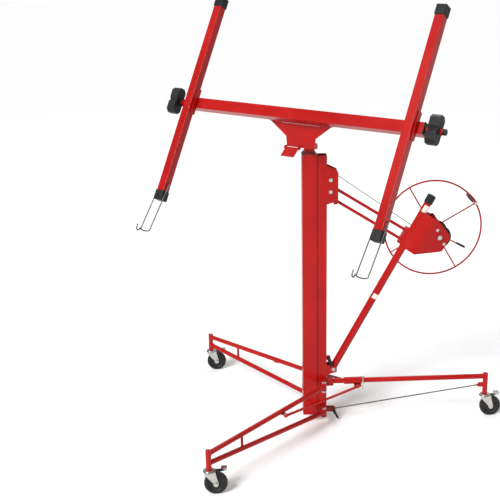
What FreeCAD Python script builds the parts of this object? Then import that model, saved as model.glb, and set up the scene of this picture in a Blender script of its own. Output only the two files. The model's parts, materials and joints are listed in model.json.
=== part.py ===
import FreeCAD, Part
import os
from math import acos, atan2, cos, degrees, pi, radians, sin, sqrt

# Plasterboard panel hoist: a folding three-caster base, a telescopic mast, a cable winch and a tilting cradle.
#
# Millimetres. +Z is up, the mast axis is the Z axis and the floor is z = 0. +Y points to the winch and the
# rear leg, and the two front legs reach towards -Y. Each sub-part is one STEP file in parts/.

V = FreeCAD.Vector
X_AXIS = V(1, 0, 0)
Z_AXIS = V(0, 0, 1)

# ---------------------------------------------------------------- clearances
RUN = 0.05          # radial clearance of a pin or shaft that turns in its bore
PRESSED = 0.05      # radial gap where a piece is clamped or pushed on a tube
SLIDE = 0.3         # gap between sliding or facing surfaces of different bodies
FACE = 0.5          # axial gap beside a hinge knuckle or an eye

# ---------------------------------------------------------------- mast column
COLUMN_W = 66.0
COLUMN_WALL = 3.0
COLUMN_BOTTOM = 46.0
COLUMN_TOP = 1308.0
CHANNEL_W = 50.0        # rear cable channel, across X
CHANNEL_D = 45.0        # rear cable channel, along Y
CHANNEL_WALL = 2.5
GUIDE_H = 45.0          # height of every nylon guide
GUIDE_FLANGE = 2.0
FOOT_PLATE_T = 4.0

# ---------------------------------------------------------------- telescopic sections
MIDDLE_W = 56.0
INNER_W = 46.0
SECTION_WALL = 2.5
MIDDLE_RISE = 4.0       # middle section above the column's top guide
LIFT_TRAVEL = 1000.0    # rise of each telescopic section
CABLE_LUG_H = 24.0      # lug on the middle section that the cable lifts
CABLE_LUG_T = 10.0
INNER_TOP = 1345.0
STAGE_FLOOR = 24.0      # clear height from the foot plate to the middle section
STAGE_STEP = 20.0       # each inner section starts this much higher

# ---------------------------------------------------------------- front legs
HINGE_X = 62.0
HINGE_Y = 62.0
FRONT_X = 620.0         # caster stem of a front leg
FRONT_Y = -475.0
LEG_TUBE_R = 11.0
LEG_TUBE_WALL = 1.8
UPPER_Z = 204.0         # upper leg tube at the hinge
LOWER_Z = 70.0          # lower leg tube at the hinge
UPPER_STEM_Z = 186.0
LOWER_STEM_Z = 141.0
STRUT_SHARE = 0.734     # strut's place between hinge and stem
STRUT_R = 6.0
BARREL_R = 13.0
BARREL_H = 28.0
HINGE_BOLT_R = 6.0
EAR_T = 5.0
SLEEVE_R = 12.0         # caster sleeve at a leg's end
SLEEVE_TOP = 201.0
LUG_ALONG = 300.0       # link lug from the hinge, along the leg
LUG_ASIDE = 20.0        # link lug from the leg's middle plane, on its rear side
LUG_R = 11.0
LUG_T = 4.0

# ---------------------------------------------------------------- rear leg, collar and links
REAR_Y = 840.0
REAR_Z = 203.0
REAR_TUBE_R = 12.0
REAR_SLEEVE_TOP = 218.0
SOCKET_W = 34.0
SOCKET_L = 34.0
COLLAR_START = 164.0
COLLAR_L = 96.0
COLLAR_PIVOT = 63.0     # link pivots from the collar's front end
COLLAR_WALL = 4.5
COLLAR_PLATE_W = 62.0
COLLAR_PLATE_L = 34.0
COLLAR_PLATE_T = 4.0
LINK_PIVOT_X = 20.0
LINK_W = 15.0
LINK_T = 7.0
LINK_BOLT_R = 4.0
OPEN_PIVOT_GAP = 0.6    # radial clearance where the folding linkage is opened

# ---------------------------------------------------------------- casters
WHEEL_R = 50.0
WHEEL_W = 26.0
CASTER_TRAIL = 28.0
FORK_GAP = 3.0
FORK_T = 2.5
CROWN_R = 26.0
STEM_R = 5.5
AXLE_R = 5.0
STEM_TOP = 185.0
SLEEVE_BOTTOM = 112.3

# ---------------------------------------------------------------- winch post
POST_FOOT_Y = 111.0
POST_FOOT_Z = 275.0
POST_TOP_Y = 554.4
POST_TOP_Z = 1101.4
POST_R = 17.0
POST_WALL = 2.0
POST_TAIL = 20.0        # tube below the foot bolt
POST_CAP_L = 40.0
FOOT_BOLT_R = 5.0

# ---------------------------------------------------------------- winch, in the post's own frame
DRUM_S = 790.0          # drum axle along the post from its foot bolt
DRUM_T = 111.0          # drum axle behind the post
DRUM_R = 30.0
ROPE_PACK_R = 34.0
FLANGE_R = 54.0
FLANGE_T = 4.0
DRUM_HALF = 42.0
PLATE_X = 50.0          # outer face of a winch side plate
PLATE_T = 3.0
DRUM_SHAFT_R = 8.0
WHEEL_X = 100.0         # hand wheel plane from the post
HANDWHEEL_R = 225.0
RIM_R = 4.0
SPOKE_R = 3.2
HUB_R = 19.0
SPOKE_TURN = 31.5       # degrees from the post's direction to the grip's spoke
GRIP_L = 132.0
GRIP_R = 11.5
ROPE_R = 2.0

# ---------------------------------------------------------------- top pulley and brace
PULLEY_Y = 94.0
PULLEY_Z = 1192.0
PULLEY_R = 31.0         # rope line radius
PULLEY_W = 14.0
PULLEY_PLATE_T = 4.0
LOWER_PLATE_BOLT_Z = 1138.0
BRACE_R = 7.0
BRACE_STEP = 46.0       # distance between the two brace rods
BRACE_HEAD_Y = 118.0
BRACE_HEAD_Z = 1146.0
BRACE_S = 742.0         # upper brace rod on the post

# ---------------------------------------------------------------- cradle
SWIVEL = 39.0           # degrees, cradle turned about the mast at rest
TILT = 60.0             # degrees, cradle tilted from flat at rest
TILT_AXIS_OUT = 62.0    # tilt hinge in front of the mast axis
TILT_AXIS_Z = 1457.0
BAR_W = 50.0
BAR_WALL = 3.0
BAR_HALF = 610.0
BAR_ABOVE_HINGE = 34.0
BAR_BEHIND_HINGE = 17.0
KNUCKLE_R = 8.0
HINGE_PIN_R = 4.0
ARM_U = 565.0
ARM_W = 40.0
ARM_WALL = 2.0
ARM_DOWN = 481.0
ARM_UP = 500.0
ARM_BRACKET_L = 120.0
ARM_BRACKET_T = 4.0
ARM_BRACKET_RISE = 26.0
CAP_L = 46.0
CAP_WALL = 3.0
OUTRIGGER_R = 13.0
OUTRIGGER_START = 250.0
DRAWN_OUT = {-1: 24.0, 1: 0.0}    # how far each extension stands drawn out at rest
PAD_U = 657.0
PAD_L = 120.0
PAD_W = 42.0
PAD_H = 52.0
HOOK_T = -400.0         # hook pivot along the arm from the crossbar
HOOK_LEN = 235.0
HOOK_SWING = 9.0        # degrees, hook ahead of the arm at rest
HOOK_R = 3.0
HOOK_CURL_R = 11.0


# ================================================================ helpers
def box(x0, x1, y0, y1, z0, z1):
    """Box between two corners."""
    return Part.makeBox(x1 - x0, y1 - y0, z1 - z0, V(x0, y0, z0))


def rod(start, end, radius):
    """Round bar from one point to another."""
    run = end.sub(start)
    return Part.makeCylinder(radius, run.Length, start, run)


def pipe(start, end, outer, inner):
    """Round tube from one point to another."""
    return rod(start, end, outer).cut(rod(start, end, inner))


def disc(centre, axis, radius, thickness):
    """Disc that is centred on a point."""
    return Part.makeCylinder(radius, thickness, centre.sub(axis * (thickness / 2)), axis)


def square_tube(width, wall, z0, z1):
    """Upright square tube on the Z axis with slightly rounded outer edges."""
    half = width / 2
    outer = box(-half, half, -half, half, z0, z1)
    upright = [e for e in outer.Edges if abs(e.Vertexes[0].Z - e.Vertexes[-1].Z) > (z1 - z0) / 2]
    outer = outer.makeFillet(min(wall, half / 2), upright)
    hollow = half - wall
    return outer.cut(box(-hollow, hollow, -hollow, hollow, z0 - 1, z1 + 1))


def fuse(shapes):
    """One solid from several that touch or overlap."""
    return shapes[0].multiFuse(shapes[1:]).removeSplitter()


def prism_x(outline, x0, x1):
    """Plate with a (y, z) outline, between two X values."""
    points = [V(x0, y, z) for y, z in outline]
    face = Part.Face(Part.makePolygon(points + points[:1]))
    return face.extrude(V(x1 - x0, 0, 0))


def prism_y(outline, y0, y1):
    """Plate with an (x, z) outline, between two Y values."""
    points = [V(x, y0, z) for x, z in outline]
    face = Part.Face(Part.makePolygon(points + points[:1]))
    return face.extrude(V(0, y1 - y0, 0))


def bent_rod(points, radius):
    """Round wire through points, with a ball at each bend."""
    pieces = [rod(a, b, radius) for a, b in zip(points, points[1:])]
    pieces += [Part.makeSphere(radius, p) for p in points[1:-1]]
    return fuse(pieces)


def hex_bar(centre, axis, across, length):
    """Hexagonal bolt head or nut, centred on a point."""
    corner = across / sqrt(3)
    ring = [V(corner * cos(radians(60 * i)), corner * sin(radians(60 * i)), -length / 2) for i in range(6)]
    face = Part.Face(Part.makePolygon(ring + ring[:1]))
    bar = face.extrude(V(0, 0, length))
    bar.Placement = FreeCAD.Placement(centre, FreeCAD.Rotation(Z_AXIS, axis))
    return bar


def bolt(centre, axis, radius, grip):
    """Bolt through a grip length centred on a point, with a hexagon head and a nut."""
    head = 1.3 * radius
    shank = disc(centre, axis, radius, grip + 2 * head)
    nose = centre.add(axis * (grip / 2 + head / 2))
    tail = centre.sub(axis * (grip / 2 + head / 2))
    return fuse([shank, hex_bar(nose, axis, 3.2 * radius, head), hex_bar(tail, axis, 3.2 * radius, head)])


def frame_of(origin, x_dir, y_dir, z_dir):
    """Placement that puts a local frame's axes and origin into the model's frame."""
    return FreeCAD.Placement(FreeCAD.Matrix(
        x_dir.x, y_dir.x, z_dir.x, origin.x,
        x_dir.y, y_dir.y, z_dir.y, origin.y,
        x_dir.z, y_dir.z, z_dir.z, origin.z,
        0, 0, 0, 1))


def placed(shape, frame):
    """Copy of a shape that was built in a local frame, put in its place."""
    copy = shape.copy()
    copy.Placement = frame.multiply(copy.Placement)
    return copy


def mirrored(shape):
    """The other side's copy, mirrored in the plane x = 0."""
    return shape.mirror(V(0, 0, 0), X_AXIS)


def save(name, *shapes):
    """Write one sub-part; several shapes stay separate solids of one node."""
    shape = shapes[0] if len(shapes) == 1 else Part.makeCompound(list(shapes))
    shape.exportStep("parts/" + name + ".step")
    print(name, len(shape.Solids), round(shape.Volume / 1000, 1), "cm3", shape.isValid())


# ================================================================ places worked out from the sizes
HALF = COLUMN_W / 2
CHANNEL_BACK = HALF + CHANNEL_D
COLUMN_BORE = COLUMN_W - 2 * COLUMN_WALL
MIDDLE_BORE = MIDDLE_W - 2 * SECTION_WALL
INNER_BORE = INNER_W - 2 * SECTION_WALL
MIDDLE_BOTTOM = COLUMN_BOTTOM + FOOT_PLATE_T + STAGE_FLOOR
MIDDLE_TOP = COLUMN_TOP + GUIDE_FLANGE + MIDDLE_RISE
INNER_BOTTOM = MIDDLE_BOTTOM + STAGE_STEP
CABLE_LUG_Z = MIDDLE_BOTTOM + GUIDE_H + 6
CABLE_Y = PULLEY_Y - PULLEY_R

LEG_RUN = V(FRONT_X - HINGE_X, FRONT_Y - HINGE_Y, 0)
LEG_L = LEG_RUN.Length
LEG_DIR = V(LEG_RUN).normalize()
LEG_FRAME = frame_of(V(HINGE_X, HINGE_Y, 0), LEG_DIR, Z_AXIS.cross(LEG_DIR), Z_AXIS)
LINK_Z = REAR_Z - REAR_TUBE_R - COLLAR_WALL - COLLAR_PLATE_T - FACE - LINK_T / 2
LINK_PIVOT_Y = COLLAR_START + COLLAR_PIVOT

POST_RUN = V(0, POST_TOP_Y - POST_FOOT_Y, POST_TOP_Z - POST_FOOT_Z)
POST_L = POST_RUN.Length
POST_DIR = V(POST_RUN).normalize()
POST_BACK = POST_DIR.cross(X_AXIS)
POST_FRAME = frame_of(V(0, POST_FOOT_Y, POST_FOOT_Z), X_AXIS, POST_BACK, POST_DIR)

SWIVEL_A = radians(SWIVEL)
TILT_A = radians(TILT)
U_DIR = V(sin(SWIVEL_A), cos(SWIVEL_A), 0)
BACK_DIR = V(-cos(SWIVEL_A), sin(SWIVEL_A), 0)
W_DIR = BACK_DIR * cos(TILT_A) + Z_AXIS * sin(TILT_A)
N_DIR = U_DIR.cross(W_DIR)
HEAD_FRAME = frame_of(V(0, 0, 0), U_DIR, BACK_DIR, Z_AXIS)
TILT_POINT = BACK_DIR * (-TILT_AXIS_OUT) + Z_AXIS * TILT_AXIS_Z
BAR_CENTRE = TILT_POINT + N_DIR * BAR_ABOVE_HINGE + W_DIR * BAR_BEHIND_HINGE
CRADLE_FRAME = frame_of(BAR_CENTRE, U_DIR, W_DIR, N_DIR)
ARM_N = BAR_W / 2 + ARM_BRACKET_T + ARM_W / 2
HOOK_SIDE = ARM_W / 2 + CAP_WALL + SLIDE + HOOK_R


# ================================================================ column
def column_tube():
    """Square outer mast tube with its closing foot plate."""
    tube = square_tube(COLUMN_W, COLUMN_WALL, COLUMN_BOTTOM, COLUMN_TOP)
    foot = box(-HALF, HALF, -HALF, HALF, COLUMN_BOTTOM, COLUMN_BOTTOM + FOOT_PLATE_T)
    return fuse([tube, foot]).cut(lug_slot())


def lug_slot():
    """Slot in the column's rear wall that the cable lug travels in."""
    half = CABLE_LUG_T / 2 + 1
    return box(-half, half, HALF - COLUMN_WALL - 1, HALF + CHANNEL_WALL + 1,
               CABLE_LUG_Z - 8, CABLE_LUG_Z + CABLE_LUG_H + LIFT_TRAVEL + 8)


def cable_channel():
    """Rectangular channel behind the column, open at the top rear where the pulley dips in."""
    outer = box(-CHANNEL_W / 2, CHANNEL_W / 2, HALF, CHANNEL_BACK, COLUMN_BOTTOM, COLUMN_TOP - 6)
    inner = box(-CHANNEL_W / 2 + CHANNEL_WALL, CHANNEL_W / 2 - CHANNEL_WALL,
                HALF + CHANNEL_WALL, CHANNEL_BACK - CHANNEL_WALL, COLUMN_BOTTOM + CHANNEL_WALL, COLUMN_TOP)
    window_half = PULLEY_W / 2 + 3
    window = box(-window_half, window_half, CHANNEL_BACK - 2 * CHANNEL_WALL, CHANNEL_BACK + 1,
                 PULLEY_Z - PULLEY_R - 12, PULLEY_Z + PULLEY_R + 12)
    return outer.cut(inner).cut(window).cut(lug_slot())


def middle_section():
    """Middle square tube, with the forked lug at its rear that the lift cable pulls up."""
    tube = square_tube(MIDDLE_W, SECTION_WALL, MIDDLE_BOTTOM, MIDDLE_TOP)
    half = CABLE_LUG_T / 2
    lug = box(-half, half, MIDDLE_W / 2 - SECTION_WALL / 2, CABLE_Y + 6, CABLE_LUG_Z, CABLE_LUG_Z + CABLE_LUG_H)
    gap = ROPE_R + FACE
    fork = box(-gap, gap, CABLE_Y - gap, CABLE_Y + 7, CABLE_LUG_Z - 1, CABLE_LUG_Z + CABLE_LUG_H + 1)
    return fuse([tube, lug.cut(fork)])


def guide(outer_w, inner_w, z0, z1):
    """Square nylon sleeve with a round-cornered outside."""
    half = outer_w / 2
    hole = inner_w / 2
    return box(-half, half, -half, half, z0, z1).cut(box(-hole, hole, -hole, hole, z0 - 1, z1 + 1))


def column_top_guide():
    """Nylon sleeve in the column's mouth, with a flange on its rim."""
    sleeve = guide(COLUMN_BORE, MIDDLE_W + 2 * SLIDE, COLUMN_TOP - GUIDE_H, COLUMN_TOP + GUIDE_FLANGE)
    flange = guide(COLUMN_W, MIDDLE_W + 2 * SLIDE, COLUMN_TOP, COLUMN_TOP + GUIDE_FLANGE)
    return fuse([sleeve, flange])


def middle_guides():
    """Foot guide outside the middle section, and top guide inside its mouth."""
    foot = guide(COLUMN_BORE - 2 * SLIDE, MIDDLE_W, MIDDLE_BOTTOM, MIDDLE_BOTTOM + GUIDE_H)
    sleeve = guide(MIDDLE_BORE, INNER_W + 2 * SLIDE, MIDDLE_TOP - GUIDE_H, MIDDLE_TOP + GUIDE_FLANGE)
    flange = guide(MIDDLE_W, INNER_W + 2 * SLIDE, MIDDLE_TOP, MIDDLE_TOP + GUIDE_FLANGE)
    return [foot, fuse([sleeve, flange])]


SPINDLE_R = INNER_BORE / 2 - 3.5


def inner_guides():
    """Foot guide outside the inner section, and the round bush for the swivel spindle in its top."""
    foot = guide(MIDDLE_BORE - 2 * SLIDE, INNER_W, INNER_BOTTOM, INNER_BOTTOM + GUIDE_H)
    half = INNER_BORE / 2
    block = box(-half, half, -half, half, INNER_TOP - GUIDE_H, INNER_TOP)
    bore = rod(V(0, 0, INNER_TOP - GUIDE_H - 1), V(0, 0, INNER_TOP + 1), SPINDLE_R + RUN)
    return [foot, block.cut(bore)]


# ================================================================ base
def hinge_wings():
    """Four pairs of ear plates on the channel's sides that hold the front legs' hinge bolts."""
    wings = []
    for level in (UPPER_Z, LOWER_Z):
        for side in (-1, 1):
            z_mid = level + side * (BARREL_H / 2 + SLIDE + EAR_T / 2)
            z0 = z_mid - EAR_T / 2
            z1 = z_mid + EAR_T / 2
            plate = box(CHANNEL_W / 2, HINGE_X, HINGE_Y - BARREL_R, HINGE_Y + BARREL_R, z0, z1)
            tip = rod(V(HINGE_X, HINGE_Y, z0), V(HINGE_X, HINGE_Y, z1), BARREL_R)
            hole = rod(V(HINGE_X, HINGE_Y, z0 - 1), V(HINGE_X, HINGE_Y, z1 + 1), HINGE_BOLT_R)
            wing = fuse([plate, tip]).cut(hole)
            wings += [wing, mirrored(wing)]
    return wings


LEVER_Y = 112.0
LEVER_Z = 58.0
LEVER_PIN_R = 4.0
TIE_R = 3.0
TIE_EYE_R = 9.0
TIE_EYE_T = 8.0
TIE_EAR_T = 4.0
TIE_EAR_IN = TIE_EYE_T / 2 + FACE
LEVER_T = 4.0


def tie_ears():
    """Two ears behind the column's foot that hold the tie rod's eye and the tension lever."""
    ears = []
    for side in (-1, 1):
        near = side * TIE_EAR_IN
        far = side * (TIE_EAR_IN + TIE_EAR_T)
        low, high = min(near, far), max(near, far)
        plate = box(low, high, CHANNEL_BACK, LEVER_Y, LEVER_Z - 12, LEVER_Z + 12)
        tip = rod(V(low, LEVER_Y, LEVER_Z), V(high, LEVER_Y, LEVER_Z), 12)
        hole = rod(V(low - 1, LEVER_Y, LEVER_Z), V(high + 1, LEVER_Y, LEVER_Z), LEVER_PIN_R)
        ears.append(fuse([plate, tip]).cut(hole))
    return ears


FOOT_EAR_T = 4.0
FOOT_EAR_IN = POST_R + FACE
LATCH_Y = 90.0
LATCH_Z = 325.0
LATCH_PIN_R = 3.0
LATCH_T = 4.0


def post_foot_ears():
    """Saddle of two ears behind the channel for the winch post's foot, and the latch's small ears."""
    ears = []
    for side in (-1, 1):
        low = FOOT_EAR_IN if side > 0 else -FOOT_EAR_IN - FOOT_EAR_T
        outline = [(CHANNEL_BACK, POST_FOOT_Z - 30), (POST_FOOT_Y + 16, POST_FOOT_Z - 16),
                   (POST_FOOT_Y + 16, POST_FOOT_Z + 14), (CHANNEL_BACK, POST_FOOT_Z + 20)]
        ear = prism_x(outline, low, low + FOOT_EAR_T)
        hole = disc(V(low + FOOT_EAR_T / 2, POST_FOOT_Y, POST_FOOT_Z), X_AXIS, FOOT_BOLT_R, 2 * FOOT_EAR_T)
        ears.append(ear.cut(hole))
    post = box(-9, 9, CHANNEL_BACK, LATCH_Y + 8, LATCH_Z - 8, LATCH_Z + 8)
    ears.append(post.cut(disc(V(0, LATCH_Y, LATCH_Z), X_AXIS, LATCH_PIN_R + RUN, 40)))
    return ears


def front_leg():
    """Right front leg in its own frame: two converging tubes, strut, hinge barrels, sleeve and link lug."""
    bore = LEG_TUBE_R - LEG_TUBE_WALL
    upper = pipe(V(0, 0, UPPER_Z), V(LEG_L, 0, UPPER_STEM_Z), LEG_TUBE_R, bore)
    lower = pipe(V(0, 0, LOWER_Z), V(LEG_L, 0, LOWER_STEM_Z), LEG_TUBE_R, bore)
    strut_x = STRUT_SHARE * LEG_L
    strut_high = UPPER_Z + (UPPER_STEM_Z - UPPER_Z) * STRUT_SHARE - LEG_TUBE_R + 1
    strut_low = LOWER_Z + (LOWER_STEM_Z - LOWER_Z) * STRUT_SHARE + LEG_TUBE_R - 1
    strut = rod(V(strut_x, 0, strut_low), V(strut_x, 0, strut_high), STRUT_R)
    sleeve = rod(V(LEG_L, 0, SLEEVE_BOTTOM), V(LEG_L, 0, SLEEVE_TOP), SLEEVE_R)
    lug_z = LINK_Z + LINK_T / 2 + FACE
    tube_z = UPPER_Z + (UPPER_STEM_Z - UPPER_Z) * LUG_ALONG / LEG_L
    lug = fuse([
        rod(V(LUG_ALONG, LUG_ASIDE, lug_z), V(LUG_ALONG, LUG_ASIDE, lug_z + LUG_T), LUG_R),
        box(LUG_ALONG - LUG_R, LUG_ALONG + LUG_R, -5, LUG_ASIDE, lug_z, lug_z + LUG_T),
        box(LUG_ALONG - LUG_R, LUG_ALONG + LUG_R, -5, 5, lug_z, tube_z - LEG_TUBE_R + 2)])
    leg = fuse([upper, lower, strut, sleeve, lug])
    barrels = []
    for level in (UPPER_Z, LOWER_Z):
        barrels.append(rod(V(0, 0, level - BARREL_H / 2), V(0, 0, level + BARREL_H / 2), BARREL_R))
    leg = fuse([leg] + barrels)
    for level in (UPPER_Z, LOWER_Z):
        leg = leg.cut(rod(V(0, 0, level - BARREL_H), V(0, 0, level + BARREL_H), HINGE_BOLT_R + RUN))
    leg = leg.cut(rod(V(LEG_L, 0, SLEEVE_BOTTOM - 1), V(LEG_L, 0, STEM_TOP + 2), STEM_R + RUN))
    hole = rod(V(LUG_ALONG, LUG_ASIDE, lug_z - 1), V(LUG_ALONG, LUG_ASIDE, lug_z + LUG_T + 1), LINK_BOLT_R + RUN)
    return leg.cut(hole)


LUG_POINT = LEG_FRAME.multVec(V(LUG_ALONG, LUG_ASIDE, LINK_Z))
LINK_POINT = V(LINK_PIVOT_X, LINK_PIVOT_Y, LINK_Z)


def link_bar():
    """Right link bar: a flat bar with an eye at each end, from the leg's lug to the collar's plate."""
    run = LINK_POINT.sub(LUG_POINT)
    direction = V(run).normalize()
    frame = frame_of(LUG_POINT, direction, Z_AXIS.cross(direction), Z_AXIS)
    half_w = LINK_W / 2 - 2
    bar = box(0, run.Length, -half_w, half_w, -LINK_T / 2, LINK_T / 2)
    eyes = [disc(V(x, 0, 0), Z_AXIS, LINK_W / 2 + 1.5, LINK_T) for x in (0, run.Length)]
    body = fuse([bar] + eyes).cut(disc(V(0, 0, 0), Z_AXIS, LINK_BOLT_R + PRESSED, 2 * LINK_T))
    body = body.cut(disc(V(run.Length, 0, 0), Z_AXIS, LINK_BOLT_R + PRESSED, 2 * LINK_T))
    return placed(body, frame)


def link_bolts():
    """Right link's pivot bolts: a close one in the leg's lug and a loose one in the collar's plate."""
    lug_bolt_top = LINK_Z + LINK_T / 2 + FACE + LUG_T + FACE
    plate_top = LINK_Z + LINK_T / 2 + FACE + COLLAR_PLATE_T + FACE
    low = LINK_Z - LINK_T / 2
    return [pivot_bolt(LUG_POINT.x, LUG_POINT.y, low, lug_bolt_top),
            pivot_bolt(LINK_POINT.x, LINK_POINT.y, low, plate_top)]


def pivot_bolt(x, y, low, high):
    """Upright shoulder bolt: shank from low to high, low hexagon head below and thin nut above."""
    head = 3.5
    shank = rod(V(x, y, low - head), V(x, y, high + head), LINK_BOLT_R)
    lower = hex_bar(V(x, y, low - head / 2), Z_AXIS, 3.2 * LINK_BOLT_R, head)
    upper = hex_bar(V(x, y, high + head / 2), Z_AXIS, 3.2 * LINK_BOLT_R, head)
    return fuse([shank, lower, upper])


COLLAR_R = REAR_TUBE_R + SLIDE + COLLAR_WALL
COLLAR_END = COLLAR_START + COLLAR_L
CLAMP_Y = COLLAR_END - 10.5
CLAMP_R = 4.0
CLAMP_BOSS_R = 9.0
CLAMP_BOSS_L = 7.0


def leg_collar():
    """Sleeve that slides on the rear leg, with the plate for both links and a boss for the clamp screw."""
    centre_start = V(0, COLLAR_START, REAR_Z)
    centre_end = V(0, COLLAR_END, REAR_Z)
    sleeve = rod(centre_start, centre_end, COLLAR_R)
    plate_y = LINK_PIVOT_Y
    plate_z = LINK_Z + LINK_T / 2 + FACE
    plate = box(-COLLAR_PLATE_W / 2, COLLAR_PLATE_W / 2, plate_y - COLLAR_PLATE_L / 2,
                plate_y + COLLAR_PLATE_L / 2, plate_z, plate_z + COLLAR_PLATE_T)
    web = box(-6, 6, plate_y - COLLAR_PLATE_L / 2, plate_y + COLLAR_PLATE_L / 2,
              plate_z, REAR_Z - REAR_TUBE_R - 2)
    boss = rod(V(0, CLAMP_Y, REAR_Z), V(COLLAR_R + CLAMP_BOSS_L, CLAMP_Y, REAR_Z), CLAMP_BOSS_R)
    body = fuse([sleeve, plate, web, boss])
    body = body.cut(rod(V(0, COLLAR_START - 1, REAR_Z), V(0, COLLAR_END + 1, REAR_Z), REAR_TUBE_R + SLIDE))
    body = body.cut(rod(V(0, CLAMP_Y, REAR_Z), V(60, CLAMP_Y, REAR_Z), CLAMP_R + RUN))
    for side in (-1, 1):
        pivot = V(side * LINK_PIVOT_X, LINK_PIVOT_Y, plate_z)
        body = body.cut(disc(pivot, Z_AXIS, LINK_BOLT_R + OPEN_PIVOT_GAP, 4 * COLLAR_PLATE_T))
    return body


CLAMP_TIP_X = REAR_TUBE_R + SLIDE
CLAMP_HANDLE_X = COLLAR_R + CLAMP_BOSS_L + 6.0
CLAMP_HANDLE_HALF = 33.0
CLAMP_HANDLE_R = 2.5


def clamp_screw():
    """Screw that grips the rear leg through the collar's boss, with a straight cross handle."""
    shank = rod(V(CLAMP_TIP_X, CLAMP_Y, REAR_Z), V(CLAMP_HANDLE_X + 4, CLAMP_Y, REAR_Z), CLAMP_R)
    head = rod(V(CLAMP_HANDLE_X - 5, CLAMP_Y, REAR_Z), V(CLAMP_HANDLE_X + 5, CLAMP_Y, REAR_Z), 6.5)
    handle = rod(V(CLAMP_HANDLE_X, CLAMP_Y, REAR_Z - CLAMP_HANDLE_HALF),
                 V(CLAMP_HANDLE_X, CLAMP_Y, REAR_Z + CLAMP_HANDLE_HALF), CLAMP_HANDLE_R)
    return fuse([shank, head, handle])


TIE_LUG_Y = 806.0
TIE_LUG_Z = 160.0


def rear_leg():
    """Rear leg: welded socket, long tube, caster sleeve and the small lug for the tie rod."""
    half = SOCKET_W / 2
    socket = box(-half, half, CHANNEL_BACK, CHANNEL_BACK + SOCKET_L, REAR_Z - half, REAR_Z + half)
    bore = REAR_TUBE_R - LEG_TUBE_WALL
    tube = pipe(V(0, CHANNEL_BACK, REAR_Z), V(0, REAR_Y, REAR_Z), REAR_TUBE_R, bore)
    sleeve = rod(V(0, REAR_Y, SLEEVE_BOTTOM), V(0, REAR_Y, REAR_SLEEVE_TOP), SLEEVE_R)
    lug = box(-5, 5, TIE_LUG_Y, REAR_Y, TIE_LUG_Z - 10, TIE_LUG_Z + 10)
    body = fuse([socket.cut(rod(V(0, 0, REAR_Z), V(0, REAR_Y, REAR_Z), bore)), tube, sleeve, lug])
    body = body.cut(rod(V(0, REAR_Y, SLEEVE_BOTTOM - 1), V(0, REAR_Y, STEM_TOP + 2), STEM_R + RUN))
    return body.cut(rod(tie_point(-20), tie_point(20), TIE_R))


def tie_point(beyond):
    """Point on the tie rod's axis, a distance beyond the rear lug's middle."""
    start = V(0, LEVER_Y, LEVER_Z)
    lug = V(0, TIE_LUG_Y + 8, TIE_LUG_Z)
    run = lug.sub(start)
    return start.add(V(run).normalize() * (run.Length + beyond))


def tie_rod():
    """Thin rod from the eye behind the column's foot up to the rear leg's lug, with a nut before the lug."""
    start = V(0, LEVER_Y, LEVER_Z)
    eye = disc(start, X_AXIS, TIE_EYE_R, TIE_EYE_T)
    shank = rod(start, tie_point(7), TIE_R)
    direction = V(tie_point(0).sub(start)).normalize()
    nut = hex_bar(tie_point(-12), direction, 10, 5)
    hole = disc(start, X_AXIS, LEVER_PIN_R, 4 * TIE_EYE_T)
    return fuse([eye, shank, nut]).cut(hole)


LEVER_PLATE_X = TIE_EAR_IN + TIE_EAR_T + SLIDE
LEVER_LEAN = 27.0       # degrees from straight down, towards the rear
LEVER_L = 26.0
LEVER_GRIP_L = 26.0
LEVER_GRIP_R = 6.0
LEVER_FRAME = frame_of(V(0, LEVER_Y, LEVER_Z), X_AXIS,
                       V(0, cos(radians(LEVER_LEAN)), sin(radians(LEVER_LEAN))),
                       V(0, -sin(radians(LEVER_LEAN)), cos(radians(LEVER_LEAN))))


def base_lever():
    """Tension lever of the tie rod: plate with a pin, hanging beside the ears."""
    plate = box(LEVER_PLATE_X, LEVER_PLATE_X + LEVER_T, -7, 7, -LEVER_L, 14)
    round_end = disc(V(LEVER_PLATE_X + LEVER_T / 2, 0, 14), X_AXIS, 7, LEVER_T)
    pin = rod(V(-LEVER_PLATE_X, 0, 0), V(LEVER_PLATE_X, 0, 0), LEVER_PIN_R - RUN)
    return placed(fuse([plate, round_end, pin]), LEVER_FRAME)


def base_lever_grip():
    """Black grip on the tension lever's end."""
    x = LEVER_PLATE_X + LEVER_T / 2
    grip = rod(V(x, 0, -LEVER_L - LEVER_GRIP_L), V(x, 0, -LEVER_L), LEVER_GRIP_R)
    return placed(grip, LEVER_FRAME)


def foot_latch():
    """Latch that drops behind the post foot's bolt head, on a pin through its small ear."""
    x0 = FOOT_EAR_IN + FOOT_EAR_T + SLIDE
    outline = [(LATCH_Y - 8, LATCH_Z + 4), (LATCH_Y - 2, LATCH_Z + 9), (LATCH_Y + 8, LATCH_Z + 4),
               (LATCH_Y + 17, LATCH_Z - 20), (LATCH_Y + 14, LATCH_Z - 34), (LATCH_Y + 4, LATCH_Z - 36),
               (LATCH_Y + 3, LATCH_Z - 20), (LATCH_Y - 8, LATCH_Z - 4)]
    plate = prism_x(outline, x0, x0 + LATCH_T)
    pin = rod(V(-12, LATCH_Y, LATCH_Z), V(x0 + LATCH_T + 2, LATCH_Y, LATCH_Z), LATCH_PIN_R)
    return fuse([plate, pin])


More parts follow.
